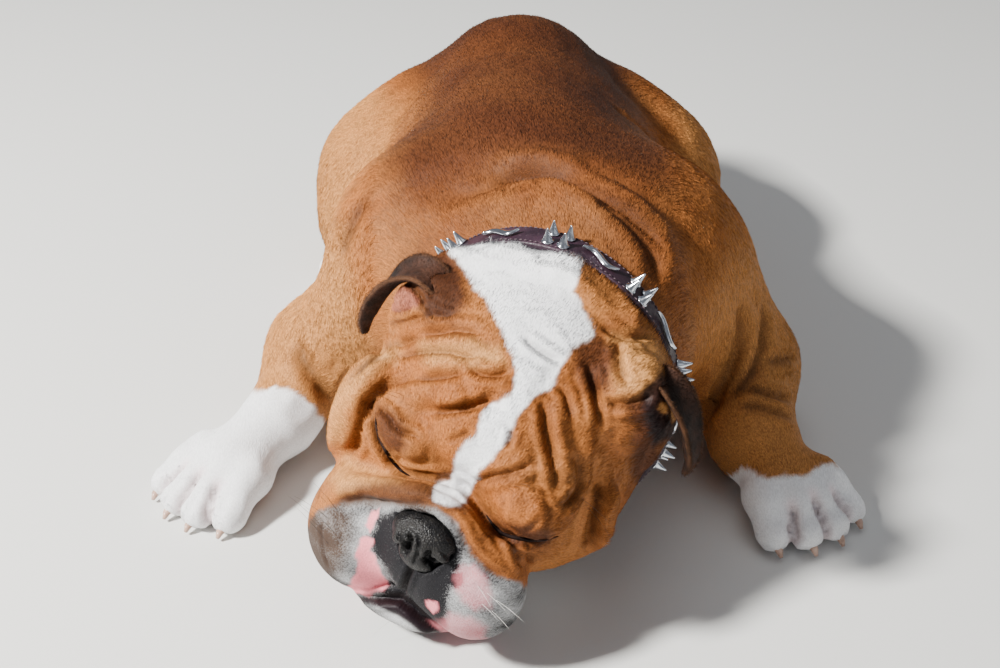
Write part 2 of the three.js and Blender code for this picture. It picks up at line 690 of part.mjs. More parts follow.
// Edges of the head's mesh, fine on the face and coarser towards the nape.
function headEdge(p) {
  const back = p.clone().sub(HEAD_AT).applyQuaternion(HEAD_BACK).y;
  return THREE.MathUtils.mapLinear(clamp(back, -50, 30), -50, 30, FACE_EDGE, NAPE_EDGE);
}

// The dog's surface within a cutter's reach.
function fleshWithin(bounds, cell, edgeAt) {
  const low = V(...bounds.min).addScalar(-2 * cell).max(DOG_LOW);
  const high = V(...bounds.max).addScalar(2 * cell).min(DOG_HIGH);
  return solid(meshed(dogSkin, low.toArray(), high.toArray(), cell, edgeAt));
}

const flesh = new Map();
{
  let torso = fleshWithin({ min: DOG_LOW.toArray(), max: DOG_HIGH.toArray() }, TORSO_CELL);
  const taken = [FLOOR];
  for (const { name, cut, cell } of REGIONS) {
    const keep = cut(0);
    const edgeAt = name === "head" ? headEdge : () => cell;
    let piece = fleshWithin(keep.boundingBox(), cell, edgeAt).intersect(keep);
    for (const other of taken) piece = piece.subtract(other);
    flesh.set(name, largest(piece));
    taken.push(cut(GAP));
  }
  for (const other of taken) torso = torso.subtract(other);
  flesh.set("torso", largest(torso));
}

// Ears: thin flaps that stand out from their bases, arch over and hang to a tip, cupped towards the head

const EARS = {
  left: [
    { at: [76, 29, 76], width: 16 },
    { at: [93, 29, 90], width: 21 },
    { at: [105, 28, 84], width: 24 },
    { at: [115, 27, 70], width: 24 },
    { at: [121, 26, 54], width: 22 },
    { at: [125, 25, 39], width: 15 },
    { at: [124, 24, 27], width: 6 },
  ],
  right: [
    { at: [-66, 16, 90], width: 18 },
    { at: [-82, 14, 103], width: 27 },
    { at: [-99, 12, 93], width: 31 },
    { at: [-112, 11, 73], width: 27 },
    { at: [-120, 10, 55], width: 21 },
    { at: [-125, 9, 42], width: 13 },
    { at: [-126, 8, 32], width: 6 },
  ],
};
const EAR_THICKNESS = 5;
const EAR_CUP = 0.24; // how far the edges turn in, as a share of the width
const EAR_COLUMNS = 6;

// The loops of a thin flap with two faces and a rim, from rows that each give their middle and width.
function flap(rows, gap) {
  const curve = new THREE.CatmullRomCurve3(rows.map(({ at }) => V(...at)));
  const steps = (rows.length - 1) * 2;
  return Array.from({ length: steps + 1 }, (_, i) => {
    const place = (i / steps) * (rows.length - 1);
    const row = Math.min(Math.floor(place), rows.length - 2);
    const width = THREE.MathUtils.lerp(rows[row].width, rows[row + 1].width, place - row);
    const along = curve.getTangent(i / steps);
    const across = V(0, 1, 0).addScaledVector(along, -along.y).normalize();
    const out = across.clone().cross(along).multiplyScalar(Math.sign(rows[0].at[0])).normalize();
    const face = (j, way) => {
      const v = (2 * j) / EAR_COLUMNS - 1;
      const depth = (EAR_THICKNESS / 2) * (1 - 0.45 * v * v) * Math.min(1, width / 14) + 1.5 * gap;
      const middle = curve.getPoint(i / steps).addScaledVector(across, v * (width / 2 + 2 * gap));
      return middle.addScaledVector(out, way * depth - EAR_CUP * width * v * v);
    };
    const columns = Array.from({ length: EAR_COLUMNS + 1 }, (_, j) => j);
    return [...columns.map((j) => face(j, 1)), ...columns.map((j) => face(EAR_COLUMNS - j, -1))];
  });
}

// Skins a row of thin loops into one closed body.
// Each end is closed from the loop's one long side to the other.
function lofted(sections) {
  const loop = sections[0].length;
  const index = [];
  for (let i = 0; i < sections.length - 1; i++)
    for (let j = 0; j < loop; j++) {
      const [a, b] = [i * loop + j, i * loop + ((j + 1) % loop)];
      index.push(a, b, b + loop, a, b + loop, a + loop);
    }
  const last = (sections.length - 1) * loop;
  for (let j = 0; j < loop / 2 - 1; j++) {
    const [a, b, c, d] = [j, j + 1, loop - 2 - j, loop - 1 - j];
    index.push(a, c, b, a, d, c, last + a, last + b, last + c, last + a, last + c, last + d);
  }
  const geometry = new THREE.BufferGeometry();
  const positions = sections.flat().flatMap((p) => p.toArray());
  geometry.setAttribute("position", new THREE.Float32BufferAttribute(positions, 3));
  geometry.setIndex(index);
  return facingOut(geometry);
}

// An ear, or with a gap added all round the room that it needs in the head.
function ear(rows, gap) {
  const sections = flap(rows, gap);
  const beyond = (end, near) => V(...rows.at(end).at).sub(V(...rows.at(near).at)).setLength(4 * gap);
  const longer = (section, by) => section.map((p) => p.clone().add(by));
  if (gap) {
    sections.unshift(longer(sections[0], beyond(0, 1)));
    sections.push(longer(sections.at(-1), beyond(-1, -2)));
  }
  const geometry = lofted(sections);
  return solid(geometry.applyQuaternion(HEAD_TURN).translate(...HEAD_AT.toArray()));
}

// Nose, jaw and collar are let into the flesh with a gap all round

function boxAbout([x, y, z], reach) {
  const at = fromHead(x, y, z);
  return { min: at.clone().addScalar(-reach).toArray(), max: at.clone().addScalar(reach).toArray() };
}
const around = (mass, { min, max }, cell) => largest(solid(meshed(onHead(mass), min, max, cell)));

const nose = around(NOSE_MASS, boxAbout(NOSE_AT, 42), 4.6);
const jaw = around(JAW_MASS, boxAbout([-2, -58, -84], 84), 8.5).subtract(FLOOR);

const letIn = (name, ...pieces) => {
  flesh.set(name, largest(pieces.reduce((piece, other) => piece.subtract(other), flesh.get(name))));
};
letIn("head", grown(nose, GAP), grown(jaw, GAP), ear(EARS.left, GAP), ear(EARS.right, GAP));
for (const name of ["head", "neck", "torso"]) letIn(name, strapBand(GAP));
for (const [name, wrist, heading, size] of [
  ...SIDES.map(({ side }) =>
    [`forepaw_${side}`, FORELEGS[side].joints[2], FORELEGS[side].heading, FORELEGS[side].paw]),
  ...SIDES.map(({ side, s }) => [`hind_paw_${side}`, hindLeg(s).wrist, hindLeg(s).heading, HIND_PAW]),
])
  flesh.set(name, claws(wrist, heading, size).reduce((paw, claw) => paw.add(claw), flesh.get(name)));

// The dog

const COAT = new THREE.MeshStandardMaterial({ color: 0xa8683a, roughness: 0.85, metalness: 0 });
const WHITE_COAT = new THREE.MeshStandardMaterial({ color: 0xe6e2dc, roughness: 0.85, metalness: 0 });
const EAR_COAT = new THREE.MeshStandardMaterial({ color: 0x6b4128, roughness: 0.85, metalness: 0 });
const NOSE_LEATHER = new THREE.MeshStandardMaterial({ color: 0x1c1a1b, roughness: 0.5, metalness: 0 });
const STRAP_LEATHER = new THREE.MeshStandardMaterial({ color: 0x2e2430, roughness: 0.6, metalness: 0 });
const STEEL = new THREE.MeshStandardMaterial({ color: 0xc8ccd0, roughness: 0.25, metalness: 1 });

const dog = new THREE.Group();
function add(name, piece, material) {
  const mesh = new THREE.Mesh(geometryOf(piece).scale(LIFE, LIFE, LIFE), material);
  mesh.name = name;
  dog.add(mesh);
}

for (const [name, piece] of flesh) add(name, piece, name.includes("forepaw") ? WHITE_COAT : COAT);
add("lower_jaw", largest(jaw), WHITE_COAT);
add("nose", nose, NOSE_LEATHER);
for (const { side } of SIDES) add(`ear_${side}`, ear(EARS[side], 0), EAR_COAT);
add("collar_strap", strap, STRAP_LEATHER);
let count = 0;
for (const group of SPIKE_GROUPS)
  for (const row of [-1, 1])
    for (const end of [-1, 1]) {
      const angle = group + end * THREE.MathUtils.radToDeg(SPIKE.apart / 2 / 110);
      const name = `collar_spike_${String(++count).padStart(2, "0")}`;
      add(name, onStrap(spikeShape, angle, (row * SPIKE.rows) / 2), STEEL);
    }
PLATES.forEach((angle, i) => add(`collar_plate_${i + 1}`, onStrap(plateShape, angle, 0), STEEL));
add("collar_buckle", onStrap(buckleShape, BUCKLE, 0), STEEL);

export default dog;
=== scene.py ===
# An English bulldog asleep on its belly, life size, in a studded leather collar.
import math

import bmesh
import bpy
import numpy as np
from mathutils import Euler, Matrix, Vector
from mathutils.bvhtree import BVHTree
from mathutils.kdtree import KDTree


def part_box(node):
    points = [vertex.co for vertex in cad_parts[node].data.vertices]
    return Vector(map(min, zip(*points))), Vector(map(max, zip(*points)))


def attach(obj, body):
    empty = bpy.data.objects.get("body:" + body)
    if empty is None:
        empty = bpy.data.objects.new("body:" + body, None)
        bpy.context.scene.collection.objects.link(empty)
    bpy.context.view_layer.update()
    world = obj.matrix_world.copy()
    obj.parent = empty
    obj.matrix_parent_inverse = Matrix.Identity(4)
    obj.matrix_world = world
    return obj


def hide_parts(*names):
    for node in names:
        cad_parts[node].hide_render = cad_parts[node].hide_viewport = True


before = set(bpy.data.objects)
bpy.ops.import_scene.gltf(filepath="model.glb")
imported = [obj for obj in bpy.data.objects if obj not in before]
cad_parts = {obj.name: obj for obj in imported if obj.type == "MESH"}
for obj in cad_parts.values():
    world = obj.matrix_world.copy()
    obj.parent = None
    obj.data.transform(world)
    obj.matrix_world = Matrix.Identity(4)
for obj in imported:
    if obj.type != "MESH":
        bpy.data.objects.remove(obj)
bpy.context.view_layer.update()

# Where the dog is shown
# A plain pale floor under soft studio lamps, the strongest on the dog's right as the sun is in the
# photograph. The camera looks down at the sleeping face from in front.
PHOTO_WIDTH, PHOTO_HEIGHT = 1000, 668
FOCAL_PIXELS = 1390
CAMERA_AT = Vector((-0.01584, -0.924, 0.6292))
CAMERA_TILT = math.radians(33)

camera = bpy.data.objects.new("camera", bpy.data.cameras.new("camera"))
camera.location = CAMERA_AT
camera.rotation_euler = (math.radians(90) - CAMERA_TILT, 0, 0)
camera.data.sensor_width = 36
camera.data.lens = 36 * FOCAL_PIXELS / PHOTO_WIDTH
camera.data.clip_start = 0.05
bpy.context.collection.objects.link(camera)
bpy.context.scene.camera = camera


def lamp(name, at, size, watts, colour=(1, 1, 1)):
    """A square area lamp that faces the dog."""
    light = bpy.data.objects.new(name, bpy.data.lights.new(name, "AREA"))
    light.data.size, light.data.energy, light.data.color = size, watts, colour
    light.location = at
    light.rotation_euler = (Vector((0, -0.1, 0.1)) - Vector(at)).to_track_quat("-Z", "Y").to_euler()
    bpy.context.collection.objects.link(light)


lamp("key_lamp", (-1.6, -0.85, 1.75), 0.3, 205, (1, 0.98, 0.94))
lamp("fill_lamp", (1.6, -1.7, 1.3), 1.8, 5, (0.93, 0.96, 1))
lamp("top_lamp", (0.1, 0.4, 2.6), 1.6, 10)

world = bpy.data.worlds.new("studio")
world.use_nodes = True
world.node_tree.nodes["Background"].inputs["Color"].default_value = (0.88, 0.92, 1, 1)
world.node_tree.nodes["Background"].inputs["Strength"].default_value = 0.24
bpy.context.scene.world = world

ground = bmesh.new()
bmesh.ops.create_grid(ground, x_segments=1, y_segments=1, size=6)
floor = bpy.data.objects.new("floor", bpy.data.meshes.new("floor"))
ground.to_mesh(floor.data)
ground.free()
floor.location.z = -0.0005
bpy.context.collection.objects.link(floor)
paper = bpy.data.materials.new("pale_paper")
paper.use_nodes = True
paper.node_tree.nodes["Principled BSDF"].inputs["Base Color"].default_value = (0.7, 0.7, 0.68, 1)
paper.node_tree.nodes["Principled BSDF"].inputs["Roughness"].default_value = 0.9
floor.data.materials.append(paper)


# Skin of the body
# Loose skin over the trunk, neck, legs, paws and tail, in one closed piece that ends under the collar.
# It lies a coat's depth inside the solids that it stands for.
BODY_NODES = ["torso", "neck", "tail"]
for side in ("left", "right"):
    for part in ("upper_arm", "forearm", "forepaw", "thigh", "lower_hindleg", "hind_paw"):
        BODY_NODES.append(f"{part}_{side}")
BODY_MESH = 0.00285
COAT_DEPTH = 0.0012
FLOOR_GAP = 0.0003


def copies_of(nodes):
    joined = bmesh.new()
    for node_name in nodes:
        joined.from_mesh(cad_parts[node_name].data)
    bmesh.ops.remove_doubles(joined, verts=joined.verts, dist=1e-6)
    return joined


def closed_skin(name, joined, voxel):
    """Turns overlapping solids into one closed skin with an even mesh."""
    rough = bpy.data.objects.new(name, bpy.data.meshes.new(name))
    joined.to_mesh(rough.data)
    joined.free()
    bpy.context.collection.objects.link(rough)
    even = rough.modifiers.new("even", "REMESH")
    even.mode, even.voxel_size = "VOXEL", voxel
    bpy.context.view_layer.update()
    rough.data = bpy.data.meshes.new_from_object(rough.evaluated_get(bpy.context.evaluated_depsgraph_get()))
    rough.modifiers.clear()
    rough.data.name = name
    rough.data.shade_smooth()
    return rough


def read(data, what):
    """The places or normals of a mesh's points, as an array."""
    owner, key = {"place": (data.vertices, "co"), "normal": (data.vertex_normals, "vector")}[what]
    values = np.empty(len(data.vertices) * 3)
    owner.foreach_get(key, values)
    return values.reshape(-1, 3)


def set_places(data, places):
    data.vertices.foreach_set("co", places.ravel())
    data.update()


def evened(data, rounds, slack):
    """Relaxes points among their neighbours without shrinking the form. Slack is 0 to 1 for each point."""
    places = read(data, "place")
    ends = np.empty(len(data.edges) * 2, int)
    data.edges.foreach_get("vertices", ends)
    a, b = ends.reshape(-1, 2).T
    here, there = np.concatenate([a, b]), np.concatenate([b, a])
    count = np.bincount(here, minlength=len(places))[:, None]
    for _ in range(rounds):
        for push in (0.5, -0.52):
            middle = np.stack([np.bincount(here, places[there, i], len(places)) for i in range(3)], 1) / count
            places += (middle - places) * push * slack[:, None]
    set_places(data, places)


def box_distance(places, node_name):
    low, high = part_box(node_name)
    out = np.maximum(np.array(low) - places, places - np.array(high))
    return np.linalg.norm(np.maximum(out, 0), axis=1)


def inset(skin, depth):
    """Moves a skin's points inwards by a depth and keeps them above the floor."""
    places = read(skin.data, "place") - depth * read(skin.data, "normal")
    places[:, 2] = np.maximum(places[:, 2], FLOOR_GAP)
    set_places(skin.data, places)


def smooth(t):
    t = np.clip(t, 0, 1)
    return t * t * (3 - 2 * t)


body_skin = closed_skin("body_skin", copies_of(BODY_NODES), BODY_MESH)
paws = [f"{part}_{side}" for part in ("forepaw", "hind_paw") for side in ("left", "right")]
places = read(body_skin.data, "place")
from_paws = np.min([box_distance(places, paw) for paw in paws], axis=0)
evened(body_skin.data, 7, np.full(len(places), 1.0))
evened(body_skin.data, 60, np.clip(from_paws / 0.03, 0.0, 1.0))
inset(body_skin, COAT_DEPTH)


# Skin of the head
# The head with its lips and chin in one closed piece, in a finer mesh than the body's for the folds of
# the face. It ends under the collar too.
HEAD_NODES = ["head", "lower_jaw"]
HEAD_MESH = 0.0015
HEAD_AT = np.array((-0.01232, -0.23936, 0.10472))
HEAD_TURN = np.array(Euler([math.radians(angle) for angle in (6, 8, -31)], "XYZ").to_matrix())


def head_own(places):
    """Places in the head's own frame: its left, its back and its crown, in millimetres."""
    return (places - HEAD_AT) @ HEAD_TURN * 1000


head_skin = closed_skin("head_skin", copies_of(HEAD_NODES), HEAD_MESH)
evened(head_skin.data, 16, np.full(len(head_skin.data.vertices), 1.0))
inset(head_skin, COAT_DEPTH * 0.6)


# Folds of the skin
# Each fold is a sharp crease with the skin rolled up beside it. Those of the face and shoulders are
# given by the pixels of the photograph that they run through, laid onto the skin from the camera.
SKIN_FOLDS = {
    head_skin: [  # pixels, depth and width in millimetres
        ([(322, 500), (345, 486), (378, 483), (410, 489), (440, 496)], -3.5, 8),
        ([(332, 480), (333, 450), (340, 415), (354, 390), (374, 374), (396, 366)], -3.5, 7),
        ([(402, 446), (420, 460), (444, 464)], -3, 9),
        ([(504, 506), (526, 512), (548, 508)], -3.5, 9),
        ([(392, 372), (420, 367), (450, 364)], -2, 6),
        ([(384, 402), (410, 394), (440, 398), (470, 394)], -2.4, 7),
        ([(558, 410), (562, 435), (566, 462)], -2.6, 5),
        ([(582, 400), (587, 430), (590, 462)], -2.6, 6),
        ([(608, 486), (606, 512), (602, 540)], -7, 6),
        ([(630, 350), (644, 362), (640, 380)], -4, 10),
        ([(396, 298), (406, 300)], -4, 6),
        ([(340, 545), (350, 570), (356, 586)], -3, 9),
        ([(347, 460), (354, 450), (361, 438), (366, 420), (370, 402), (384, 390),
          (400, 385), (412, 380)], 6, 3.2),
        ([(375, 410), (376, 425), (379, 438), (386, 452), (393, 463), (400, 471)], 6, 2.4),
        ([(393, 463), (402, 472), (412, 477), (425, 479), (440, 480), (455, 481)], 6.5, 3),
        ([(374, 408), (383, 410), (390, 418), (394, 427), (402, 433), (412, 435), (423, 443)], 3.8, 2),
        ([(433, 409), (441, 412), (450, 411), (462, 409), (475, 406), (485, 402), (496, 399)], 5.2, 2.8),
        ([(412, 380), (428, 379), (444, 377), (456, 374), (466, 373)], 3.4, 2.8),
        ([(466, 366), (480, 374), (490, 376), (500, 375), (512, 369)], 4, 2.4),
        ([(340, 425), (350, 395), (360, 378), (375, 365), (392, 357)], 3.2, 2.4),
        ([(352, 388), (364, 368), (380, 353), (400, 344), (424, 338)], 3.8, 3),
        ([(420, 335), (440, 332), (455, 329), (470, 331), (482, 335)], 3.6, 3),
        ([(398, 360), (414, 354), (432, 352), (450, 352), (466, 356), (480, 358)], 3.4, 2.8),
        ([(446, 441), (455, 440), (463, 437), (471, 430)], 2.4, 2.2),
        ([(452, 480), (465, 487), (474, 499), (482, 512), (491, 524)], 5, 3),
        ([(485, 514), (494, 526), (501, 534), (510, 537), (528, 540), (545, 540), (562, 535)], 5.5, 2.6),
        ([(531, 507), (537, 512), (538, 518), (532, 524), (524, 529)], 3, 2),
        ([(508, 536), (513, 546), (518, 557), (522, 568)], 4.4, 2.4),
        ([(517, 538), (521, 549), (530, 557), (541, 560)], 2.6, 2),
        ([(474, 484), (490, 478), (505, 475), (518, 471), (527, 467), (534, 460)], 3.4, 2.4),
        ([(589, 362), (591, 378), (594, 390), (596, 402), (598, 415), (599, 427)], 5.5, 2.7),
        ([(558, 386), (566, 396), (569, 408), (571, 419)], 3.4, 2.2),
        ([(542, 398), (545, 415), (546, 430), (549, 445), (553, 460), (556, 475), (557, 492)], 5, 2.8),
        ([(577, 452), (580, 468), (580, 482), (577, 494), (569, 503), (558, 507)], 4.4, 3),
        ([(512, 428), (510, 440), (506, 449)], 2.4, 1.8),
        ([(601, 480), (597, 500), (593, 516), (590, 533), (587, 556)], 9, 3.4),
        ([(620, 341), (619, 355), (621, 370), (626, 386)], 3.2, 2.6),
        ([(600, 405), (615, 405), (630, 404), (645, 400), (655, 391)], 4.2, 2.8),
        ([(600, 325), (612, 333), (625, 338), (640, 337), (652, 333)], 3.6, 2.6),
        ([(524, 335), (530, 343), (540, 351), (550, 357), (561, 362)], 2.6, 2.2),
        ([(336, 506), (350, 501), (365, 498), (380, 501), (400, 503), (420, 503), (437, 508)], 3.4, 2.4),
        ([(437, 508), (450, 518), (460, 531), (467, 546), (478, 560), (492, 572), (512, 581)], 3.2, 2.4),
        ([(322, 518), (321, 535), (324, 553), (330, 570)], 1.4, 1.6),
        ([(335, 512), (338, 528), (344, 545)], 1.4, 1.6),
        ([(374, 306), (381, 298), (392, 289), (403, 284), (413, 288), (420, 296), (424, 307)], 4, 1.8),
        ([(383, 303), (388, 311), (397, 314), (406, 312), (413, 307)], 2.6, 1.7),
        ([(424, 307), (434, 313), (445, 317), (455, 315)], 2.4, 2),
        ([(376, 334), (390, 326), (408, 321), (424, 318), (445, 318)], 2.6, 2),
        ([(350, 597), (365, 598), (382, 598), (400, 598), (413, 608), (425, 620),
          (436, 628), (444, 634)], 6, 2.6),
        ([(417, 560), (411, 570), (407, 580), (404, 590), (403, 597)], 3.4, 1.7),
    ],
    body_skin: [
        ([(486, 186), (510, 178), (540, 174), (570, 180), (600, 192), (628, 210),
          (652, 232), (672, 262)], 8, 7),
        ([(590, 197), (612, 209), (632, 228), (650, 251), (663, 284)], 5.5, 6),
        ([(740, 298), (740, 325), (738, 350), (728, 378), (714, 402), (703, 430)], 6, 5),
        ([(762, 298), (764, 320), (762, 345), (754, 368), (742, 386), (722, 410)], 4, 4.5),
        ([(762, 362), (778, 360), (796, 357)], 3, 4),
        ([(740, 388), (758, 391), (778, 396), (797, 399)], 3.4, 4),
        ([(735, 404), (758, 406), (778, 412), (796, 418)], 2.8, 3.6),
        ([(299, 336), (303, 360), (313, 376), (324, 390), (336, 401)], 4.4, 5),
        ([(366, 196), (352, 222), (343, 245), (339, 262)], 5, 7),
    ],
}


def tree_of(data):
    return BVHTree.FromPolygons([v.co for v in data.vertices], [p.vertices for p in data.polygons])


def sight_of(pixel):
    """The direction from the camera through a pixel of the photograph."""
    x, y = pixel
    sight = Vector(((x - PHOTO_WIDTH / 2) / FOCAL_PIXELS, (PHOTO_HEIGHT / 2 - y) / FOCAL_PIXELS, -1))
    sight.rotate(camera.rotation_euler)
    return sight


def on_skin(tree, pixels, apart=3):
    """Points of a skin under a line of the photograph's pixels."""
    found = []
    for (x0, y0), (x1, y1) in zip(pixels[:-1], pixels[1:]):
        steps = max(1, round(math.hypot(x1 - x0, y1 - y0) / apart))
        for i in range(steps + 1):
            pixel = (x0 + (x1 - x0) * i / steps, y0 + (y1 - y0) * i / steps)
            place = tree.ray_cast(CAMERA_AT, sight_of(pixel))[0]
            if place is not None:
                found.append(place)
    return np.array(found)


def nearness(places, line):
    """Distance to a line of points, and how far along it the nearest place is, from 0 to 1."""
    gap, along = np.full(len(places), 9.0), np.zeros(len(places))
    for i, (a, b) in enumerate(zip(line[:-1], line[1:])):
        step = b - a
        t = np.clip((places - a) @ step / max(step @ step, 1e-12), 0, 1)
        d = np.linalg.norm(places - a - t[:, None] * step, axis=1)
        closer = d < gap
        gap[closer], along[closer] = d[closer], (i + t[closer]) / (len(line) - 1)
    return gap, along


def close_by(places, line, reach):
    return np.all((places > line.min(0) - reach) & (places < line.max(0) + reach), axis=1)


def press(places, normals, line, depth, width, rolled=True):
    """Presses a crease along a line of points, with rolls on both sides. Less than no depth swells."""
    near = close_by(places, line, 4 * width)
    gap, along = nearness(places[near], line)
    fade = smooth(np.minimum(along, 1 - along) / 0.22 + 0.12)
    valley = np.exp(-((gap / width) ** 2))
    if depth > 0 and rolled:
        valley = np.exp(-1.5 * gap / width) - 0.4 * np.exp(-(((gap / width - 2.1) / 1.0) ** 2))
    places[near] -= normals[near] * (depth * fade * valley)[:, None]


# The creases are kept to paint shade into them and to shorten and thin the hair there.
creases = {skin: [] for skin in SKIN_FOLDS}
for skin, folds in SKIN_FOLDS.items():
    tree = tree_of(skin.data)
    places, normals = read(skin.data, "place"), read(skin.data, "normal")
    for pixels, depth, width in folds:
        line = on_skin(tree, pixels)
        press(places, normals, line, depth / 1000, width / 1000)
        if depth > 0:
            creases[skin].append((line, depth / 1000, width / 1000))
    places[:, 2] = np.maximum(places[:, 2], FLOOR_GAP)
    set_places(skin.data, places)
    evened(skin.data, 1, np.full(len(places), 0.6))


def creased(places, skin):
    """How deep points lie in the creases of a skin, from 0 on the rolls to 1 at the bottom."""
    found = np.zeros(len(places))
    for line, depth, width in creases[skin]:
        near = close_by(places, line, 2.5 * width)
        if near.any():
            gap, along = nearness(places[near], line)
            fade = np.clip(np.minimum(along, 1 - along) / 0.2, 0.1, 1) * min(1, depth / 0.004)
            found[near] = np.maximum(found[near], np.exp(-((gap / width) ** 2)) * fade)
    return found


# Toes and claws
# Four toes on each paw, parted by grooves that run over the knuckles and down the front. Each toe ends
# in a blunt horn claw that bends to the ground.
PAWS = {  # wrist, heading in degrees, length, gap between toes
    "forepaw_left": ((0.1619, -0.1382), 26, 0.0968, 0.022),
    "forepaw_right": ((-0.1725, -0.1153), -38, 0.1065, 0.022),
    "hind_paw_left": ((0.1373, 0.1672), 9, 0.0722, 0.0158),
    "hind_paw_right": ((-0.1373, 0.1672), -9, 0.0722, 0.0158),
}
WIDE_TOE_GAP = 0.022
TOES = (-1.5, -0.5, 0.5, 1.5)
CLAW_STEPS = [  # past the toe's front, height and radius, in metres on a forepaw
    (-0.012, 0.009, 0.0037), (-0.006, 0.0084, 0.0033), (-0.0015, 0.006, 0.0025), (0.001, 0.0026, 0.0012),
]


def on_paw(paw, forward, across, up):
    (x, y), heading, _, _ = PAWS[paw]
    sin, cos = math.sin(math.radians(heading)), math.cos(math.radians(heading))
    return Vector((x + forward * sin + across * cos, y - forward * cos + across * sin, up))


def toe_reach(paw, toe):
    """How far forward a toe reaches, where toe counts across the paw from its middle."""
    return PAWS[paw][2] - 0.0044 * toe * toe


body_tree = tree_of(body_skin.data)
places, normals = read(body_skin.data, "place"), read(body_skin.data, "normal")
toe_grooves = []
for paw, (_, _, length, toe_gap) in PAWS.items():
    size = toe_gap / WIDE_TOE_GAP
    knuckles_at = length * 0.73
    for toe in (-1, 0, 1):
        groove = []
        for i in range(12):
            share = i / 11
            forward = knuckles_at + (toe_reach(paw, toe) - 0.004 - knuckles_at) * share
            above = on_paw(paw, forward, toe * toe_gap * (0.72 + 0.28 * share), 0.12)
            groove.append(body_tree.ray_cast(above, Vector((0, 0, -1)))[0])
        backwards = on_paw(paw, 0, 0, 0) - on_paw(paw, 1, 0, 0)
        for up in (0.018, 0.012, 0.006, 0.002):
            ahead = on_paw(paw, length + 0.03, toe * toe_gap, up * size)
            groove.append(body_tree.ray_cast(ahead, backwards)[0])
        line = np.array([point for point in groove if point is not None])
        toe_grooves.append((line, 0.0052 * size, 0.0027 * size))
        press(places, normals, *toe_grooves[-1])
    for toe in TOES:
        for behind, swell, reach in ((0.024, 0.0024, 0.009), (0.006, 0.0018, 0.009)):
            above = on_paw(paw, toe_reach(paw, toe) - behind * size, toe * toe_gap * (1 - 4 * behind), 0.12)
            knuckle = np.array(body_tree.ray_cast(above, Vector((0, 0, -1)))[0])
            near = np.exp(-((np.linalg.norm(places - knuckle, axis=1) / (reach * size)) ** 2))
            places += normals * (swell * size * near)[:, None]
# The toe grooves count as creases, so shade is painted into them too.
creases[body_skin] += toe_grooves
places[:, 2] = np.maximum(places[:, 2], FLOOR_GAP)
set_places(body_skin.data, places)
evened(body_skin.data, 2, np.where(from_paws < 0.01, 0.8, 0.0))


def tube(made, points, radii, sides):
    """Adds a closed tapered tube through points to a bmesh."""
    way = points[1] - points[0]
    start = Matrix.Translation(points[0]) @ way.to_track_quat("Z", "Y").to_matrix().to_4x4()
    bmesh.ops.create_circle(made, cap_ends=True, segments=sides, radius=radii[0], matrix=start)
    made.faces.ensure_lookup_table()
    end = made.faces[-1]
    for i in range(1, len(points)):
        ahead = points[min(i + 1, len(points) - 1)] - points[i - 1]
        grown = bmesh.ops.extrude_face_region(made, geom=[end])["geom"]
        rim = [item for item in grown if isinstance(item, bmesh.types.BMVert)]
        end = next(item for item in grown if isinstance(item, bmesh.types.BMFace))
        bmesh.ops.translate(made, vec=points[i] - points[i - 1], verts=rim)
        at = Matrix.Translation(-points[i])
        bmesh.ops.rotate(made, cent=points[i], matrix=way.rotation_difference(ahead).to_matrix(), verts=rim)
        bmesh.ops.scale(made, vec=[radii[i] / radii[i - 1]] * 3, space=at, verts=rim)
        way = ahead


def finished(made, name, material, replaced=()):
    """Turns a bmesh into a piece of the dog that rides on its body."""
    bmesh.ops.recalc_face_normals(made, faces=made.faces)
    data = bpy.data.meshes.new(name)
    made.to_mesh(data)
    made.free()
    data.shade_smooth()
    piece = bpy.data.objects.new(name, data)
    bpy.context.collection.objects.link(piece)
    return dressed(piece, material, replaced)


def dressed(piece, material, replaced=()):
    piece.data.materials.append(material)
    if replaced:
        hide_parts(*replaced)
    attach(piece, "root")
    return piece


def node(tree, kind, inputs=(), **settings):
    """A shader node with its settings, and with values or other nodes' outputs on its inputs."""
    made = tree.nodes.new(kind)
    for key, value in settings.items():
        setattr(made, key, value)
    for key, value in dict(inputs).items():
        if isinstance(value, bpy.types.NodeSocket):
            tree.links.new(value, made.inputs[key])
        else:
            made.inputs[key].default_value = value
    return made


def mixed(tree, share, first, second, blend="MIX"):
    """The mix of two colours, by a share from 0 to 1."""
    mix = node(tree, "ShaderNodeMix", {0: share, 6: first, 7: second}, data_type="RGBA", blend_type=blend)
    return mix.outputs[2]


def noise(tree, place, scale, detail):
    return node(
        tree, "ShaderNodeTexNoise", {"Vector": place, "Scale": scale, "Detail": detail}
    ).outputs["Fac"]


def new_material(name, **values):
    """A material with plain values on its shader, and its node tree, shader and object coordinates."""
    material = bpy.data.materials.new(name)
    material.use_nodes = True
    tree = material.node_tree
    shader = tree.nodes["Principled BSDF"]
    for key, value in values.items():
        shader.inputs[key.replace("_", " ").title().replace("Ior", "IOR")].default_value = value
    return material, tree, shader, node(tree, "ShaderNodeTexCoord").outputs["Object"]


def bumped(tree, shader, height, strength, distance):
    bump = node(tree, "ShaderNodeBump", {"Strength": strength, "Distance": distance, "Height": height})
    tree.links.new(bump.outputs["Normal"], shader.inputs["Normal"])


claw_horn, tree, shader, place = new_material(
    "claw_horn", roughness=0.32, coat_weight=0.25, coat_roughness=0.2
)
fibres = node(tree, "ShaderNodeMapping", {"Vector": place, "Scale": (1, 1, 0.3)}).outputs["Vector"]
grain = noise(tree, fibres, 700, 4)
stain = noise(tree, place, 160, 2)
horn = mixed(tree, grain, (0.5, 0.34, 0.24, 1), (0.26, 0.14, 0.1, 1))
horn = mixed(tree, stain, horn, (0.62, 0.4, 0.32, 1))
tree.links.new(horn, shader.inputs["Base Color"])
bumped(tree, shader, grain, 0.4, 0.0002)

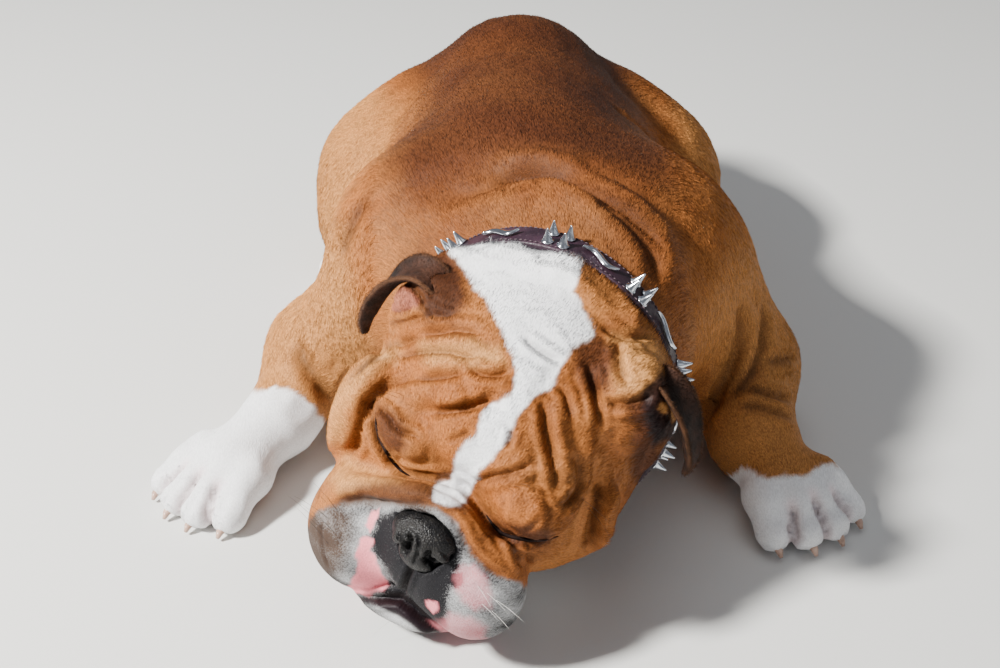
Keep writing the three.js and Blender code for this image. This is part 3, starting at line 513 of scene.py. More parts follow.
for paw in PAWS:
    made = bmesh.new()
    toe_gap = PAWS[paw][3]
    size = toe_gap / WIDE_TOE_GAP
    for toe in TOES:
        reach, across = toe_reach(paw, toe), toe * toe_gap
        points = [on_paw(paw, reach + forward * size, across, up * size) for forward, up, _ in CLAW_STEPS]
        tube(made, points, [radius * size for _, _, radius in CLAW_STEPS], 12)
    finished(made, f"{paw}_claws", claw_horn)


# Looks of the skin and coat
# Warm fawn hair, darker along the back and round the ears, with a white blaze and white paws. The muzzle
# is dark and frosted with white hairs, with pink patches. Every marking is a mask that skin and hair share.
# Shade is painted into the creases, the ear hollows, the far cheek and under the nose roll. Painted
# highlights lie on the forehead and the rolls where the light falls.
BLAZE = [
    (447, 249), (461, 266), (473, 287), (487, 303), (501, 331), (510, 354), (514, 374), (511, 394),
    (490, 406), (479, 417), (476, 437), (459, 451), (453, 469), (452, 480), (440, 483), (432, 491),
    (434, 502), (450, 506), (466, 503), (470, 492), (476, 477), (490, 463), (507, 440), (516, 417),
    (533, 400), (550, 389), (561, 366), (573, 349), (594, 337), (590, 323), (573, 291), (583, 264),
    (559, 247), (545, 225), (500, 215), (458, 228),
]
MUZZLE = [
    (300, 540), (312, 515), (330, 506), (350, 500), (372, 497), (400, 502), (420, 503), (437, 508),
    (450, 518), (460, 531), (467, 546), (478, 560), (492, 572), (512, 581), (535, 590), (540, 640),
    (480, 665), (400, 650), (340, 620), (300, 590),
]
DARK_MUZZLE = [
    (380, 520), (392, 512), (420, 508), (446, 524), (460, 548), (460, 566), (450, 582), (446, 604),
    (446, 626), (432, 630), (418, 622), (404, 604), (384, 597), (386, 590), (392, 584), (384, 566),
    (374, 552), (372, 536),
]
DARK_SPOTS = [
    [(413, 604), (425, 602), (430, 610), (445, 616), (447, 626), (438, 630), (424, 620), (414, 612)],
    [(448, 572), (462, 574), (464, 584), (454, 588), (446, 582)],
]
LIP = [
    (344, 595), (362, 597), (382, 597), (402, 598), (414, 608), (426, 620), (438, 629), (447, 637),
    (438, 642), (424, 636), (410, 624), (398, 616), (382, 609), (364, 602), (348, 599),
]
CHEEK_TAN = [
    (298, 500), (322, 500), (338, 505), (352, 515), (352, 540), (346, 560), (340, 575), (322, 580),
    (296, 570),
]
PINK_PATCHES = [
    [(360, 538), (368, 537), (374, 541), (369, 550), (375, 558), (378, 566), (384, 575), (388, 585),
     (384, 591), (374, 593), (368, 597), (359, 593), (350, 591), (350, 583), (356, 574), (358, 565),
     (355, 556), (357, 547)],
    [(426, 601), (436, 601), (438, 608), (433, 613), (428, 607)],
    [(372, 512), (380, 508), (378, 520), (370, 532), (366, 524)],
]
PALE_PINK_PATCHES = [
    [(460, 568), (474, 566), (486, 576), (492, 592), (490, 606), (476, 610), (462, 602), (456, 590),
     (455, 580)],
    [(426, 622), (440, 622), (450, 614), (470, 617), (486, 628), (484, 640), (466, 648), (448, 644),
     (434, 634)],
]
# Dark brown fur between the blaze and the ears, round the eyes and on the crown. The second patch, on the far
# cheek turned from the light, and the last, under the nose roll, are painted shade.
DARK_FUR_AND_SHADE_PATCHES = [
    [(574, 345), (600, 334), (616, 350), (612, 382), (600, 396), (584, 392), (572, 372)],
    [(624, 398), (650, 400), (664, 430), (658, 480), (640, 500), (628, 470), (632, 430)],
    [(538, 372), (556, 374), (552, 386), (536, 384)],
    [(376, 404), (396, 412), (408, 430), (404, 456), (384, 452), (374, 430)],
    [(484, 512), (512, 524), (552, 532), (548, 546), (512, 548), (490, 534)],
    [(412, 258), (450, 250), (462, 268), (466, 300), (452, 320), (424, 320), (418, 296), (398, 282),
     (380, 290)],
    [(428, 486), (452, 480), (470, 506), (452, 512), (436, 504)],
    [(344, 490), (380, 480), (420, 481), (452, 494), (446, 509), (400, 504), (352, 504), (330, 508)],
]
# Painted highlights where the light falls: on the lump by the left ear, the top of the nose roll, the outer
# roll and the forehead.
PAINTED_HIGHLIGHT_PATCHES = [
    [(610, 335), (650, 332), (670, 350), (664, 380), (640, 398), (616, 392)],
    [(345, 455), (375, 470), (410, 486), (440, 490), (436, 500), (380, 494), (340, 496), (330, 480)],
    [(330, 400), (350, 372), (372, 352), (400, 345), (396, 360), (366, 378), (350, 410), (342, 440),
     (330, 440)],
    [(420, 345), (470, 340), (500, 350), (505, 366), (470, 366), (425, 365)],
]
BURR = [(378, 300), (392, 291), (404, 286), (414, 292), (421, 303), (413, 310), (400, 314), (388, 309)]
EAR_KNOB = [(656, 408), (660, 403), (667, 402), (673, 409), (677, 424), (672, 424), (668, 414), (661, 413)]
# Hollows by the ears with painted shade: the first, in the right ear's fold, and the last, by the left ear,
# near black; the middle one, at the right ear's base, darkened as a crease.
SHADED_EAR_HOLLOWS = [
    [(367, 330), (368, 316), (374, 304), (384, 294), (396, 288), (400, 291), (386, 300), (378, 312),
     (374, 330)],
    [(404, 286), (414, 264), (446, 254), (458, 270), (462, 296), (450, 320), (424, 320), (418, 302)],
    [(640, 392), (652, 380), (662, 372), (676, 390), (682, 420), (685, 440), (676, 452), (662, 442),
     (652, 446), (646, 430), (642, 410)],
]
WHITE_FEET = {
    "forepaw_right": [
        (120, 570), (120, 430), (190, 412), (226, 404), (240, 396), (262, 390), (284, 388), (296, 392),
        (304, 400), (316, 410), (326, 424), (330, 460), (300, 570),
    ],
    "forepaw_left": [
        (720, 600), (728, 476), (742, 470), (764, 476), (780, 478), (792, 477), (806, 474), (814, 466),
        (830, 462), (900, 480), (900, 600),
    ],
}


def seen_at(places):
    """The pixels of the photograph in which points of the dog lie."""
    offset = places - np.array(CAMERA_AT)
    up = np.array((0, math.sin(CAMERA_TILT), math.cos(CAMERA_TILT)))
    forward = np.array((0, math.cos(CAMERA_TILT), -math.sin(CAMERA_TILT)))
    deep = offset @ forward
    across, above = FOCAL_PIXELS * offset[:, 0] / deep, FOCAL_PIXELS * (offset @ up) / deep
    return PHOTO_WIDTH / 2 + across, PHOTO_HEIGHT / 2 - above


def within(places, outline, blur):
    """1 inside an outline of pixels and 0 outside it, changing over a blur given in pixels."""
    x, y = seen_at(places)
    inside, gap = np.zeros(len(x), bool), np.full(len(x), 1e9)
    for (x0, y0), (x1, y1) in zip(outline, outline[1:] + outline[:1]):
        t = np.clip(((x - x0) * (x1 - x0) + (y - y0) * (y1 - y0)) / ((x1 - x0) ** 2 + (y1 - y0) ** 2), 0, 1)
        gap = np.minimum(gap, np.hypot(x - x0 - t * (x1 - x0), y - y0 - t * (y1 - y0)))
        if y0 != y1:
            inside ^= ((y0 > y) != (y1 > y)) & (x < (x1 - x0) * (y - y0) / (y1 - y0) + x0)
    return smooth(np.where(inside, gap, -gap) / blur + 0.5)


def within_any(places, outlines, blur):
    return np.max([within(places, outline, blur) for outline in outlines], axis=0)


def wander(places, size, seed):
    """Smooth random values from -1 to 1 that change over a given size in metres."""
    draw = np.random.default_rng(seed)
    waves = draw.normal(size=(10, 3)) * 2 / size
    turns = draw.uniform(0, 2 * math.pi, 10)
    return np.sin(places @ waves.T + turns).mean(1) * 1.6


def jiggled(places, size, reach):
    return places + reach * np.stack([wander(places, size, seed) for seed in (2, 3, 4)], 1)


# Crease is painted shade in the folds. Lip also paints near-black shade into the ear hollows, light carries
# painted highlights on the face, and dark holds painted shade on the face besides darker fur.
MASKS = ("white", "dark", "light", "muzzle", "frost", "pink", "lip", "crease")


def markings(places, skin):
    """The masks of the coat's colours at points of the dog."""
    masks = {name: np.zeros(len(places)) for name in MASKS}
    # Painted shade: points darken by how deep they lie in the creases.
    masks["crease"] = creased(places, skin)
    ragged = jiggled(places, 0.006, 0.0014)
    if skin is head_skin:
        own = head_own(places)
        front = smooth((-own[:, 1] - 20) / 15)
        upper = smooth((own[:, 2] + 10) / 20)
        facing = smooth((70 - own[:, 1]) / 20)
        chin = smooth((-52 - own[:, 2]) / 8) * smooth((-own[:, 1] + 10) / 20)
        masks["white"] = np.maximum(within(ragged, BLAZE, 5) * upper, chin)
        masks["muzzle"] = within(ragged, MUZZLE, 6) * front
        dark = np.maximum(within(ragged, DARK_MUZZLE, 16), within_any(ragged, DARK_SPOTS, 5))
        tan = within(ragged, CHEEK_TAN, 24)
        frost = 0.5 + 0.3 * wander(places, 0.016, 7) - 0.25 * tan
        masks["frost"] = np.clip(frost * (1 - dark) + 0.18 * dark, 0, 1)
        pale_pink = 0.45 * within_any(ragged, PALE_PINK_PATCHES, 10)
        masks["pink"] = np.maximum(within_any(ragged, PINK_PATCHES, 3), pale_pink) * front
        masks["lip"] = within(places, LIP, 4) * front
        masks["dark"] = 0.9 * within_any(ragged, DARK_FUR_AND_SHADE_PATCHES, 16) * facing
        masks["dark"] = np.maximum(masks["dark"], 0.45 * tan * masks["muzzle"])
        masks["light"] = within_any(ragged, PAINTED_HIGHLIGHT_PATCHES, 18) * facing
        burr = within(ragged, BURR, 5) * upper
        knob = within(places, EAR_KNOB, 4)
        masks["light"] = np.maximum(masks["light"], knob)
        masks["dark"] = np.maximum(masks["dark"], 0.45 * burr)
        masks["pink"] = np.maximum(masks["pink"], 0.16 * burr)
        # Painted shade in the ear hollows: a crease's brown at the right ear's base, near-black lip colour in
        # the others.
        masks["crease"] = np.maximum(masks["crease"], 0.6 * within(ragged, SHADED_EAR_HOLLOWS[1], 14))
        masks["lip"] = np.maximum(masks["lip"], 0.92 * within_any(places, SHADED_EAR_HOLLOWS[::2], 9) * (1 - knob))
        low = smooth((-25 - own[:, 2]) / 30) * smooth((own[:, 1] + 30) / 30)
        masks["light"] = np.maximum(masks["light"], 0.5 * low)
    else:
        wide = np.abs(places[:, 0] - 0.004) + 0.02 * wander(places, 0.09, 5)
        saddle = smooth((0.125 - wide) / 0.06) * smooth((places[:, 2] - 0.12) / 0.06)
        neck = smooth((-0.07 - places[:, 1]) / 0.06)
        masks["dark"] = saddle * (0.9 - 0.35 * neck) + 0.15 * wander(places, 0.06, 6) * saddle
        masks["light"] = smooth((wide - 0.105) / 0.03) * smooth((0.2 - places[:, 2]) / 0.06) * 0.7
        for paw in WHITE_FEET:
            foot = within(jiggled(places, 0.008, 0.003), WHITE_FEET[paw], 5)
            masks["white"] = np.maximum(masks["white"], foot * smooth(1.5 - box_distance(places, paw) / 0.03))
        for paw in ("hind_paw_left", "hind_paw_right"):
            middle = on_paw(paw, 0.055, 0, 0.01)
            reach = np.linalg.norm(places - np.array(middle), axis=1) + 0.004 * wander(places, 0.01, 8)
            masks["white"] = np.maximum(masks["white"], smooth((0.036 - reach) / 0.006))
        breast = smooth((0.03 - places[:, 2]) / 0.01) * smooth((-0.02 - places[:, 1]) / 0.03)
        masks["white"] = np.maximum(masks["white"], breast * (np.abs(places[:, 0]) < 0.1))
        toes = np.zeros(len(places))
        for line, _, width in toe_grooves:
            near = close_by(places, line, 3 * width)
            if near.any():
                gap = nearness(places[near], line)[0]
                toes[near] = np.maximum(toes[near], np.exp(-((gap / width / 1.6) ** 2)))
        masks["pink"] = 0.2 * toes * masks["white"]
    return masks


def lie_of(places, skin):
    """Places in a frame in which the hair runs along Y, in metres."""
    return head_own(places) / 1000 if skin is head_skin else places


def give_values(data, values):
    for name, value in values.items():
        kind, key = ("FLOAT_VECTOR", "vector") if value.ndim == 2 else ("FLOAT", "value")
        data.attributes.new(name, kind, "POINT").data.foreach_set(key, value.astype(np.float32).ravel())


for skin in (body_skin, head_skin):
    places = read(skin.data, "place")
    give_values(skin.data, {**markings(places, skin), "lie": lie_of(places, skin)})

# Deep is the brown of the painted shade at the bottom of the creases. Lip also colours the painted shade in
# the ear hollows.
COAT_COLOURS = {
    "fawn": (0.4, 0.128, 0.028), "light": (0.62, 0.28, 0.085), "dark": (0.088, 0.025, 0.008),
    "deep": (0.022, 0.008, 0.004), "white": (0.9, 0.9, 0.91), "soot": (0.008, 0.0075, 0.0095),
    "pink": (0.92, 0.27, 0.31), "lip": (0.012, 0.006, 0.009), "taupe": (0.13, 0.078, 0.052),
}


def attribute(tree, name, output="Fac"):
    return node(tree, "ShaderNodeAttribute", attribute_name=name).outputs[output]


def ranged(tree, value, low, high, to_low=0.0, to_high=1.0):
    inputs = {"Value": value, "From Min": low, "From Max": high, "To Min": to_low, "To Max": to_high}
    return node(tree, "ShaderNodeMapRange", inputs).outputs["Result"]


def coat_pattern():
    """The coat's colours by its masks, for skin and hair alike, and where its tone varies little."""
    tree = bpy.data.node_groups.new("coat_pattern", "ShaderNodeTree")
    for name, kind in (("Place", "NodeSocketVector"), ("Chance", "NodeSocketFloat")):
        tree.interface.new_socket(name=name, in_out="INPUT", socket_type=kind)
    for name, kind in (("Colour", "NodeSocketColor"), ("Plain", "NodeSocketFloat")):
        tree.interface.new_socket(name=name, in_out="OUTPUT", socket_type=kind)
    given = tree.nodes.new("NodeGroupInput").outputs
    colour = {key: (*value, 1) for key, value in COAT_COLOURS.items()}
    mask = {key: attribute(tree, key) for key in MASKS}
    broad, patchy = noise(tree, given["Place"], 16, 3), noise(tree, given["Place"], 60, 3)
    sandy = mixed(tree, 0.3, colour["fawn"], colour["light"])
    warm = mixed(tree, ranged(tree, broad, 0.4, 0.62), colour["fawn"], sandy)
    warm = mixed(tree, ranged(tree, patchy, 0.5, 0.7, 0, 0.3), warm, colour["dark"])
    tone = mixed(tree, mask["light"], warm, colour["light"])
    tone = mixed(tree, mask["dark"], tone, colour["dark"])
    tone = mixed(tree, mask["white"], tone, colour["white"])
    chances = {0: given["Chance"], 1: -0.5, 2: mask["frost"]}
    pale = node(tree, "ShaderNodeMath", chances, operation="MULTIPLY_ADD").outputs[0]
    frosted = mixed(tree, ranged(tree, pale, 0.0, 0.8), colour["soot"], colour["white"])
    frosted = mixed(tree, mask["dark"], frosted, colour["taupe"])
    tone = mixed(tree, mask["muzzle"], tone, frosted)
    tone = mixed(tree, mask["pink"], tone, colour["pink"])
    tone = mixed(tree, mask["lip"], tone, colour["lip"])
    # Painted shade: in the creases the colour is darkened and drawn towards the deep brown.
    shadowed = mixed(tree, 1.0, tone, (0.3, 0.24, 0.22, 1), "MULTIPLY")
    shadowed = mixed(tree, 0.35, colour["deep"], shadowed)
    tone = mixed(tree, ranged(tree, mask["crease"], 0, 1, 0, 0.85), tone, shadowed)
    plain = node(tree, "ShaderNodeMath", {0: mask["white"], 1: mask["muzzle"]}, operation="MAXIMUM")
    node(tree, "NodeGroupOutput", {"Colour": tone, "Plain": plain.outputs[0]})
    return tree


def soften(tree, shader):
    """Shades tufts mostly by the direction of the skin under them, as fine hair scatters light."""
    tuft = node(tree, "ShaderNodeNewGeometry").outputs["Normal"]
    ways = {0: 0.55, 4: tuft, 5: attribute(tree, "skinward", "Vector")}
    both = node(tree, "ShaderNodeMix", ways, data_type="VECTOR").outputs[1]
    normal = node(tree, "ShaderNodeVectorMath", {0: both}, operation="NORMALIZE").outputs[0]
    tree.links.new(normal, shader.inputs["Normal"])


def coat_material(name, hair):
    """The coat's look. Each tuft of hair has a tone of its own, and skin has short hairs in its bump."""
    material, tree, shader, place = new_material(name, roughness=0.65, specular_ior_level=0.16)
    lie = attribute(tree, "lie", "Vector")
    stretched = node(tree, "ShaderNodeMapping", {"Vector": lie, "Scale": (1, 0.22, 1)}).outputs["Vector"]
    hairs = noise(tree, stretched, 1100, 2)
    if hair:
        chance = attribute(tree, "tone")
        vivid, quiet = ranged(tree, chance, 0, 1, 0.42, 1.5), ranged(tree, chance, 0, 1, 0.93, 1.08)
        soften(tree, shader)
    else:
        chance, streak = ranged(tree, hairs, 0.35, 0.65, 0.35, 0.8), ranged(tree, hairs, 0.3, 0.7)
        vivid, quiet = ranged(tree, streak, 0, 1, 0.42, 0.95), ranged(tree, streak, 0, 1, 0.8, 1)
        bumped(tree, shader, hairs, 0.6, 0.0006)
    pattern = node(tree, "ShaderNodeGroup", {"Place": place, "Chance": chance}, node_tree=coat_looks)
    shade = mixed(tree, pattern.outputs["Plain"], vivid, quiet)
    coloured = mixed(tree, 1.0, pattern.outputs["Colour"], shade, "MULTIPLY")
    tree.links.new(coloured, shader.inputs["Base Color"])
    tree.links.new(ranged(tree, attribute(tree, "lip"), 0, 1, 0.65, 0.52), shader.inputs["Roughness"])
    return material


coat_looks = coat_pattern()
skin_coat = coat_material("short_coat", False)
for skin, nodes in ((body_skin, BODY_NODES), (head_skin, HEAD_NODES)):
    dressed(skin, skin_coat, nodes)


# Ears
# Thin folded flaps of skin and gristle under short velvety hair. Each grows from the side of the crown,
# arches out and hangs to a rounded tip, cupped towards the head.
EAR_ROWS = {  # middle of each row in the head's own frame, and the width there, in millimetres
    "ear_left": [
        ((56, 24, 55), 13), ((66.9, 25.5, 66.9), 15), ((81.8, 25.5, 79.2), 19), ((92.4, 24.6, 73.9), 22),
        ((101.2, 23.8, 61.6), 22), ((106.5, 22.9, 47.5), 19.5), ((110, 22, 34.3), 13.5),
        ((109.1, 21.1, 23.6), 6),
    ],
    "ear_right": [
        ((-49, 15, 68), 15), ((-58.1, 14.1, 79.2), 19), ((-72.2, 12.3, 90.6), 24.5),
        ((-87.1, 10.6, 81.8), 27.5), ((-98.6, 9.7, 64.2), 24), ((-105.6, 8.8, 48.4), 18.5),
        ((-110, 7.9, 37), 12), ((-110.9, 7, 28), 6),
    ],
}
EAR_THICKNESS = 4.2
EAR_CUP = 0.24
EAR_STEPS, EAR_COLUMNS = 30, 12


def along_rows(rows, share):
    """A smooth course through rows: the middle, the width and the way at a share from 0 to 1."""
    place = share * (len(rows) - 1)
    i = min(int(place), len(rows) - 2)
    t = place - i
    four = [np.array((*rows[min(max(j, 0), len(rows) - 1)][0], rows[min(max(j, 0), len(rows) - 1)][1]), float)
            for j in range(i - 1, i + 3)]
    a, b, c, d = four
    at = 0.5 * (2 * b + (c - a) * t + (2 * a - 5 * b + 4 * c - d) * t * t + (3 * b - a - 3 * c + d) * t ** 3)
    way = 0.5 * ((c - a) + 2 * (2 * a - 5 * b + 4 * c - d) * t + 3 * (3 * b - a - 3 * c + d) * t * t)
    return at[:3], at[3], way[:3] / np.linalg.norm(way[:3])


ear_velvet, tree, shader, place = new_material("ear_velvet", roughness=0.65, specular_ior_level=0.2)
rim, tip = attribute(tree, "rim"), attribute(tree, "tip")
broad = noise(tree, place, 90, 4)
strands = node(tree, "ShaderNodeMapping", {"Vector": attribute(tree, "lie", "Vector"), "Scale": (1, 1, 0.2)})
hairs = noise(tree, strands.outputs["Vector"], 1300, 2)
hide = mixed(tree, ranged(tree, broad, 0.42, 0.6), (0.014, 0.007, 0.005, 1), (0.04, 0.016, 0.009, 1))
hide = mixed(tree, ranged(tree, tip, 0.0, 0.4, 0.8, 0), hide, (0.09, 0.03, 0.012, 1))
hide = mixed(tree, ranged(tree, rim, 0.86, 1, 0, 0.45), hide, (0.16, 0.07, 0.03, 1))
hide = mixed(tree, 1.0, hide, ranged(tree, hairs, 0.3, 0.7, 0.6, 1.25), "MULTIPLY")
hide = mixed(tree, 1.0, hide, ranged(tree, attribute(tree, "tone"), 0, 1, 0.55, 1.5), "MULTIPLY")
tree.links.new(hide, shader.inputs["Base Color"])
bumped(tree, shader, hairs, 0.5, 0.0005)

ear_flaps = {}
for ear, rows in EAR_ROWS.items():
    made = bmesh.new()
    bmesh.ops.create_grid(made, x_segments=EAR_STEPS, y_segments=EAR_COLUMNS, size=1)
    side = math.copysign(1, rows[0][0][0])
    thick, rim_at, tip_at = [], [], []
    made.verts.ensure_lookup_table()
    for vert in made.verts:
        share, v = (vert.co.x + 1) / 2, vert.co.y
        middle, width, way = along_rows(rows, share)
        across = np.array((0, 1, 0)) - way * way[1]
        across /= np.linalg.norm(across)
        out = np.cross(across, way) * side
        roll = 0.8 * math.sin(share * 9 + v * 2) * v * v
        at = middle + across * v * width / 2 - out * (EAR_CUP * width * v * v - roll)
        vert.co = HEAD_AT + HEAD_TURN @ (at / 1000)
        thick.append((1 - 0.5 * v * v) * min(1, width / 12))
        rim_at.append(max(abs(v), share ** 6))
        tip_at.append(share)
    flap = finished(made, f"{ear}_flap", ear_velvet, [ear])
    group = flap.vertex_groups.new(name="thickness")
    for i, weight in enumerate(thick):
        group.add([i], weight, "REPLACE")
    give_values(flap.data, {
        "rim": np.array(rim_at), "tip": np.array(tip_at), "tone": np.full(len(rim_at), 0.4),
        "lie": head_own(read(flap.data, "place")) / 1000,
    })
    ear_flaps[ear] = flap
    shell = flap.modifiers.new("shell", "SOLIDIFY")
    shell.thickness, shell.offset, shell.vertex_group = EAR_THICKNESS / 1000, 0, group.name
    shell.thickness_vertex_group, shell.use_even_offset = 0.3, True
    rounded = flap.modifiers.new("rounded", "SUBSURF")
    rounded.levels = rounded.render_levels = 1


# Nose
# A broad pad of black, pebbled, slightly moist skin, with two comma-shaped nostrils, each curled round a
# bulging wing, and a groove down its middle.
NOSE_MESH = 0.0006
NOSE_MASSES = [  # middle and radii in the head's own frame, in millimetres
    ((2.6, -93.5, 5), (21, 12.5, 14)), ((2.6, -98, -5), (13.5, 9.5, 12)), ((2.6, -96, 7), (15, 11, 10)),
]
NOSE_FOLDS = [  # pixels, depth and width in millimetres
    ([(396, 538), (401, 536)], -2.8, 4.2),
    ([(441, 560), (446, 556)], -2.8, 4.2),
    ([(390, 545), (395, 550), (402, 552), (408, 547), (410, 540), (407, 533)], 4.6, 1.6),
    ([(401, 551), (408, 545)], 9, 2.7),
    ([(454, 553), (450, 562), (443, 568), (436, 568), (429, 563), (427, 556), (431, 550)], 4.6, 1.6),
    ([(427, 558), (432, 565)], 9, 2.7),
    ([(417, 534), (419, 544), (417, 554), (413, 564), (410, 572)], 1.8, 1.1),
]
solids = bmesh.new()
for middle, radii in NOSE_MASSES:
    ball = bmesh.ops.create_icosphere(solids, subdivisions=4, radius=0.001)["verts"]
    bmesh.ops.scale(solids, vec=radii, verts=ball)
    at = Matrix(HEAD_TURN.tolist()).to_4x4()
    at.translation = HEAD_AT + HEAD_TURN @ (np.array(middle) / 1000)
    bmesh.ops.transform(solids, matrix=at, verts=ball)
nose_pad = closed_skin("nose_pad", solids, NOSE_MESH)
count = len(nose_pad.data.vertices)
evened(nose_pad.data, 30, np.full(count, 1.0))
nose_tree = tree_of(nose_pad.data)
places, normals = read(nose_pad.data, "place"), read(nose_pad.data, "normal")
# Painted shade: the nostrils and the middle groove are darkened by how deep they are pressed.
pit_shade = np.zeros(count)
for pixels, depth, width in NOSE_FOLDS:
    line = on_skin(nose_tree, pixels, 1)
    press(places, normals, line, depth / 1000, width / 1000, False)
    gap = nearness(places, line)[0] * 1000
    pit_shade = np.maximum(pit_shade, np.exp(-((gap / width) ** 2)) * np.clip(depth / 4, 0, 1))
set_places(nose_pad.data, places)
evened(nose_pad.data, 2, np.full(count, 0.7))
give_values(nose_pad.data, {"pit": pit_shade})

nose_skin, tree, shader, place = new_material("nose_skin", roughness=0.5, specular_ior_level=0.2)
pebbles = {"Vector": place, "Scale": 820, "Randomness": 0.9}
cells = node(tree, "ShaderNodeTexVoronoi", pebbles).outputs["Distance"]
worn = noise(tree, place, 150, 4)
black = mixed(tree, ranged(tree, worn, 0.4, 0.65), (0.004, 0.0038, 0.0045, 1), (0.013, 0.012, 0.012, 1))
# Pale dry crust and a painted highlight on the tops of the pebbles.
black = mixed(tree, ranged(tree, cells, 0.05, 0.35, 0.22, 0), black, (0.1, 0.085, 0.06, 1))
# The painted shade in the nostrils and the groove.
black = mixed(tree, attribute(tree, "pit"), black, (0.002, 0.002, 0.002, 1))
tree.links.new(black, shader.inputs["Base Color"])
tree.links.new(ranged(tree, worn, 0.35, 0.65, 0.36, 0.56), shader.inputs["Roughness"])
bumped(tree, shader, ranged(tree, cells, 0, 0.7, 1, 0), 0.6, 0.0006)
dressed(nose_pad, nose_skin, ["nose"])


# Lids and whiskers
# The eyes are shut: each shows only the dark moist margin of its lids, deep in a crease. Stiff whiskers
# stand out of the lips, the brows and the cheeks.
LID_LINES = {
    "eyelid_right": [(376, 412), (376, 424), (379, 437), (386, 451), (393, 462), (401, 471), (410, 476)],
    "eyelid_left": [(486, 515), (493, 525), (501, 533), (512, 537), (528, 540), (545, 540), (560, 536)],
}
head_tree = tree_of(head_skin.data)
lid_margin, tree, shader, place = new_material("lid_margin", roughness=0.75, specular_ior_level=0.1)
worn = noise(tree, place, 500, 3)
margin = mixed(tree, worn, (0.006, 0.004, 0.004, 1), (0.022, 0.011, 0.009, 1))
tree.links.new(margin, shader.inputs["Base Color"])
bumped(tree, shader, worn, 0.4, 0.0003)
for name, pixels in LID_LINES.items():
    line = on_skin(head_tree, pixels, 2)
    for _ in range(4):
        line[1:-1] = (line[:-2] + line[2:]) / 4 + line[1:-1] / 2
    ahead = np.array(CAMERA_AT) - line
    ahead *= 0.0007 / np.linalg.norm(ahead, axis=1)[:, None]
    line = [Vector(point) for point in (line + ahead)[:: max(1, len(line) // 18)]]
    shares = [i / (len(line) - 1) for i in range(len(line))]
    made = bmesh.new()
    tube(made, line, [0.0003 + 0.0009 * math.sin(math.pi * share) ** 0.7 for share in shares], 10)
    finished(made, name, lid_margin)

WHISKERS = [  # colour, root pixels, way in the head's own frame and its change, length in millimetres
    ("dark", [(338, 512), (330, 520), (324, 529), (345, 522), (334, 532), (326, 541), (337, 545)],
     (-1, 0.15, 0.25), 0.03, (28, 31, 34)),
    ("pale", [(478, 586), (487, 593), (496, 600), (482, 604), (492, 611)], (1, -0.1, -0.3), 0.09,
    (13, 16, 19)),
    ("dark", [(392, 402), (398, 398), (404, 396)], (-0.5, -0.5, 0.8), 0, (16,)),
    ("dark", [(508, 488), (514, 486), (521, 484)], (0.5, -0.5, 0.8), 0, (16,)),
    ("dark", [(583, 500), (588, 508)], (0.8, -0.3, 0.2), 0, (22,)),
    ("pale", [(352, 604), (362, 607), (374, 613), (390, 621)], (-0.4, -0.9, -0.3), 0, (14,)),
]
WHISKER_SHARES = (-0.06, 0.2, 0.45, 0.7, 0.87, 1)
WHISKER_RADII = [0.0001, 0.0001, 0.00009, 0.00007, 0.00005, 0.00003]
WHISKER_COLOURS = {
    "dark": ((0.02, 0.016, 0.014, 1), (0.014, 0.0112, 0.0098, 1)),
    "pale": ((0.78, 0.75, 0.7, 1), (0.546, 0.525, 0.49, 1)),
}
draw = np.random.default_rng(11)
for kind, colours in WHISKER_COLOURS.items():
    whisker, tree, shader, place = new_material(f"{kind}_whisker", roughness=0.35)
    tree.links.new(mixed(tree, noise(tree, place, 120, 2), *colours), shader.inputs["Base Color"])
    made = bmesh.new()
    roots = [
        (pixel, np.array(way) + (0, 0, turn * i), lengths[i % len(lengths)] / 1000)
        for tint, pixels, way, turn, lengths in WHISKERS if tint == kind
        for i, pixel in enumerate(pixels)
    ]
    for pixel, way, length in roots:
        root = head_tree.ray_cast(CAMERA_AT, sight_of(pixel))[0]
        if root is not None:
            way = HEAD_TURN @ (way + draw.normal(size=3) * 0.12)
            way = Vector(way / np.linalg.norm(way)) * length
            points = [root + way * t - Vector((0, 0, 0.2 * length * t * t)) for t in WHISKER_SHARES]
            for point in points:
                point.z = max(point.z, 0.001)
            tube(made, points, WHISKER_RADII, 5)
    finished(made, f"{kind}_whiskers", whisker)


# Collar strap
# Dark satin leather, four millimetres thick, cut as a band and buckled under the throat, with rounded
# edges and a row of stitches along each.
COLLAR_AT = Vector((0.00968, -0.1892, 0.12804))
COLLAR_TURN = Euler([math.radians(angle) for angle in (-4, 0, -25)], "XYZ").to_matrix()
COLLAR_WAY = COLLAR_TURN @ Vector((0, 1, 0))
STRAP_HALF = 0.0097
STITCHES = 168


def on_ring(angle, along, radius):
    """A point about the neck: an angle from its top to the dog's left, a distance along it and a radius."""
    out = Vector((math.sin(angle), 0, math.cos(angle))) * radius
    return COLLAR_AT + COLLAR_TURN @ (out + Vector((0, along, 0)))


def along_neck(places):
    return (places - np.array(COLLAR_AT)) @ np.array(COLLAR_WAY)


strap_leather, tree, shader, place = new_material("strap_leather", specular_ior_level=0.45)
grain = node(tree, "ShaderNodeTexVoronoi", {"Vector": place, "Scale": 900}).outputs["Distance"]
worn = noise(tree, place, 70, 5)
scuffs = noise(tree, place, 420, 4)
leather = mixed(tree, ranged(tree, worn, 0.35, 0.65), (0.014, 0.006, 0.012, 1), (0.036, 0.016, 0.028, 1))
leather = mixed(tree, ranged(tree, scuffs, 0.62, 0.75, 0, 0.4), leather, (0.11, 0.06, 0.075, 1))
tree.links.new(leather, shader.inputs["Base Color"])
tree.links.new(ranged(tree, scuffs, 0.35, 0.7, 0.36, 0.58), shader.inputs["Roughness"])
bumped(tree, shader, grain, 0.35, 0.0004)

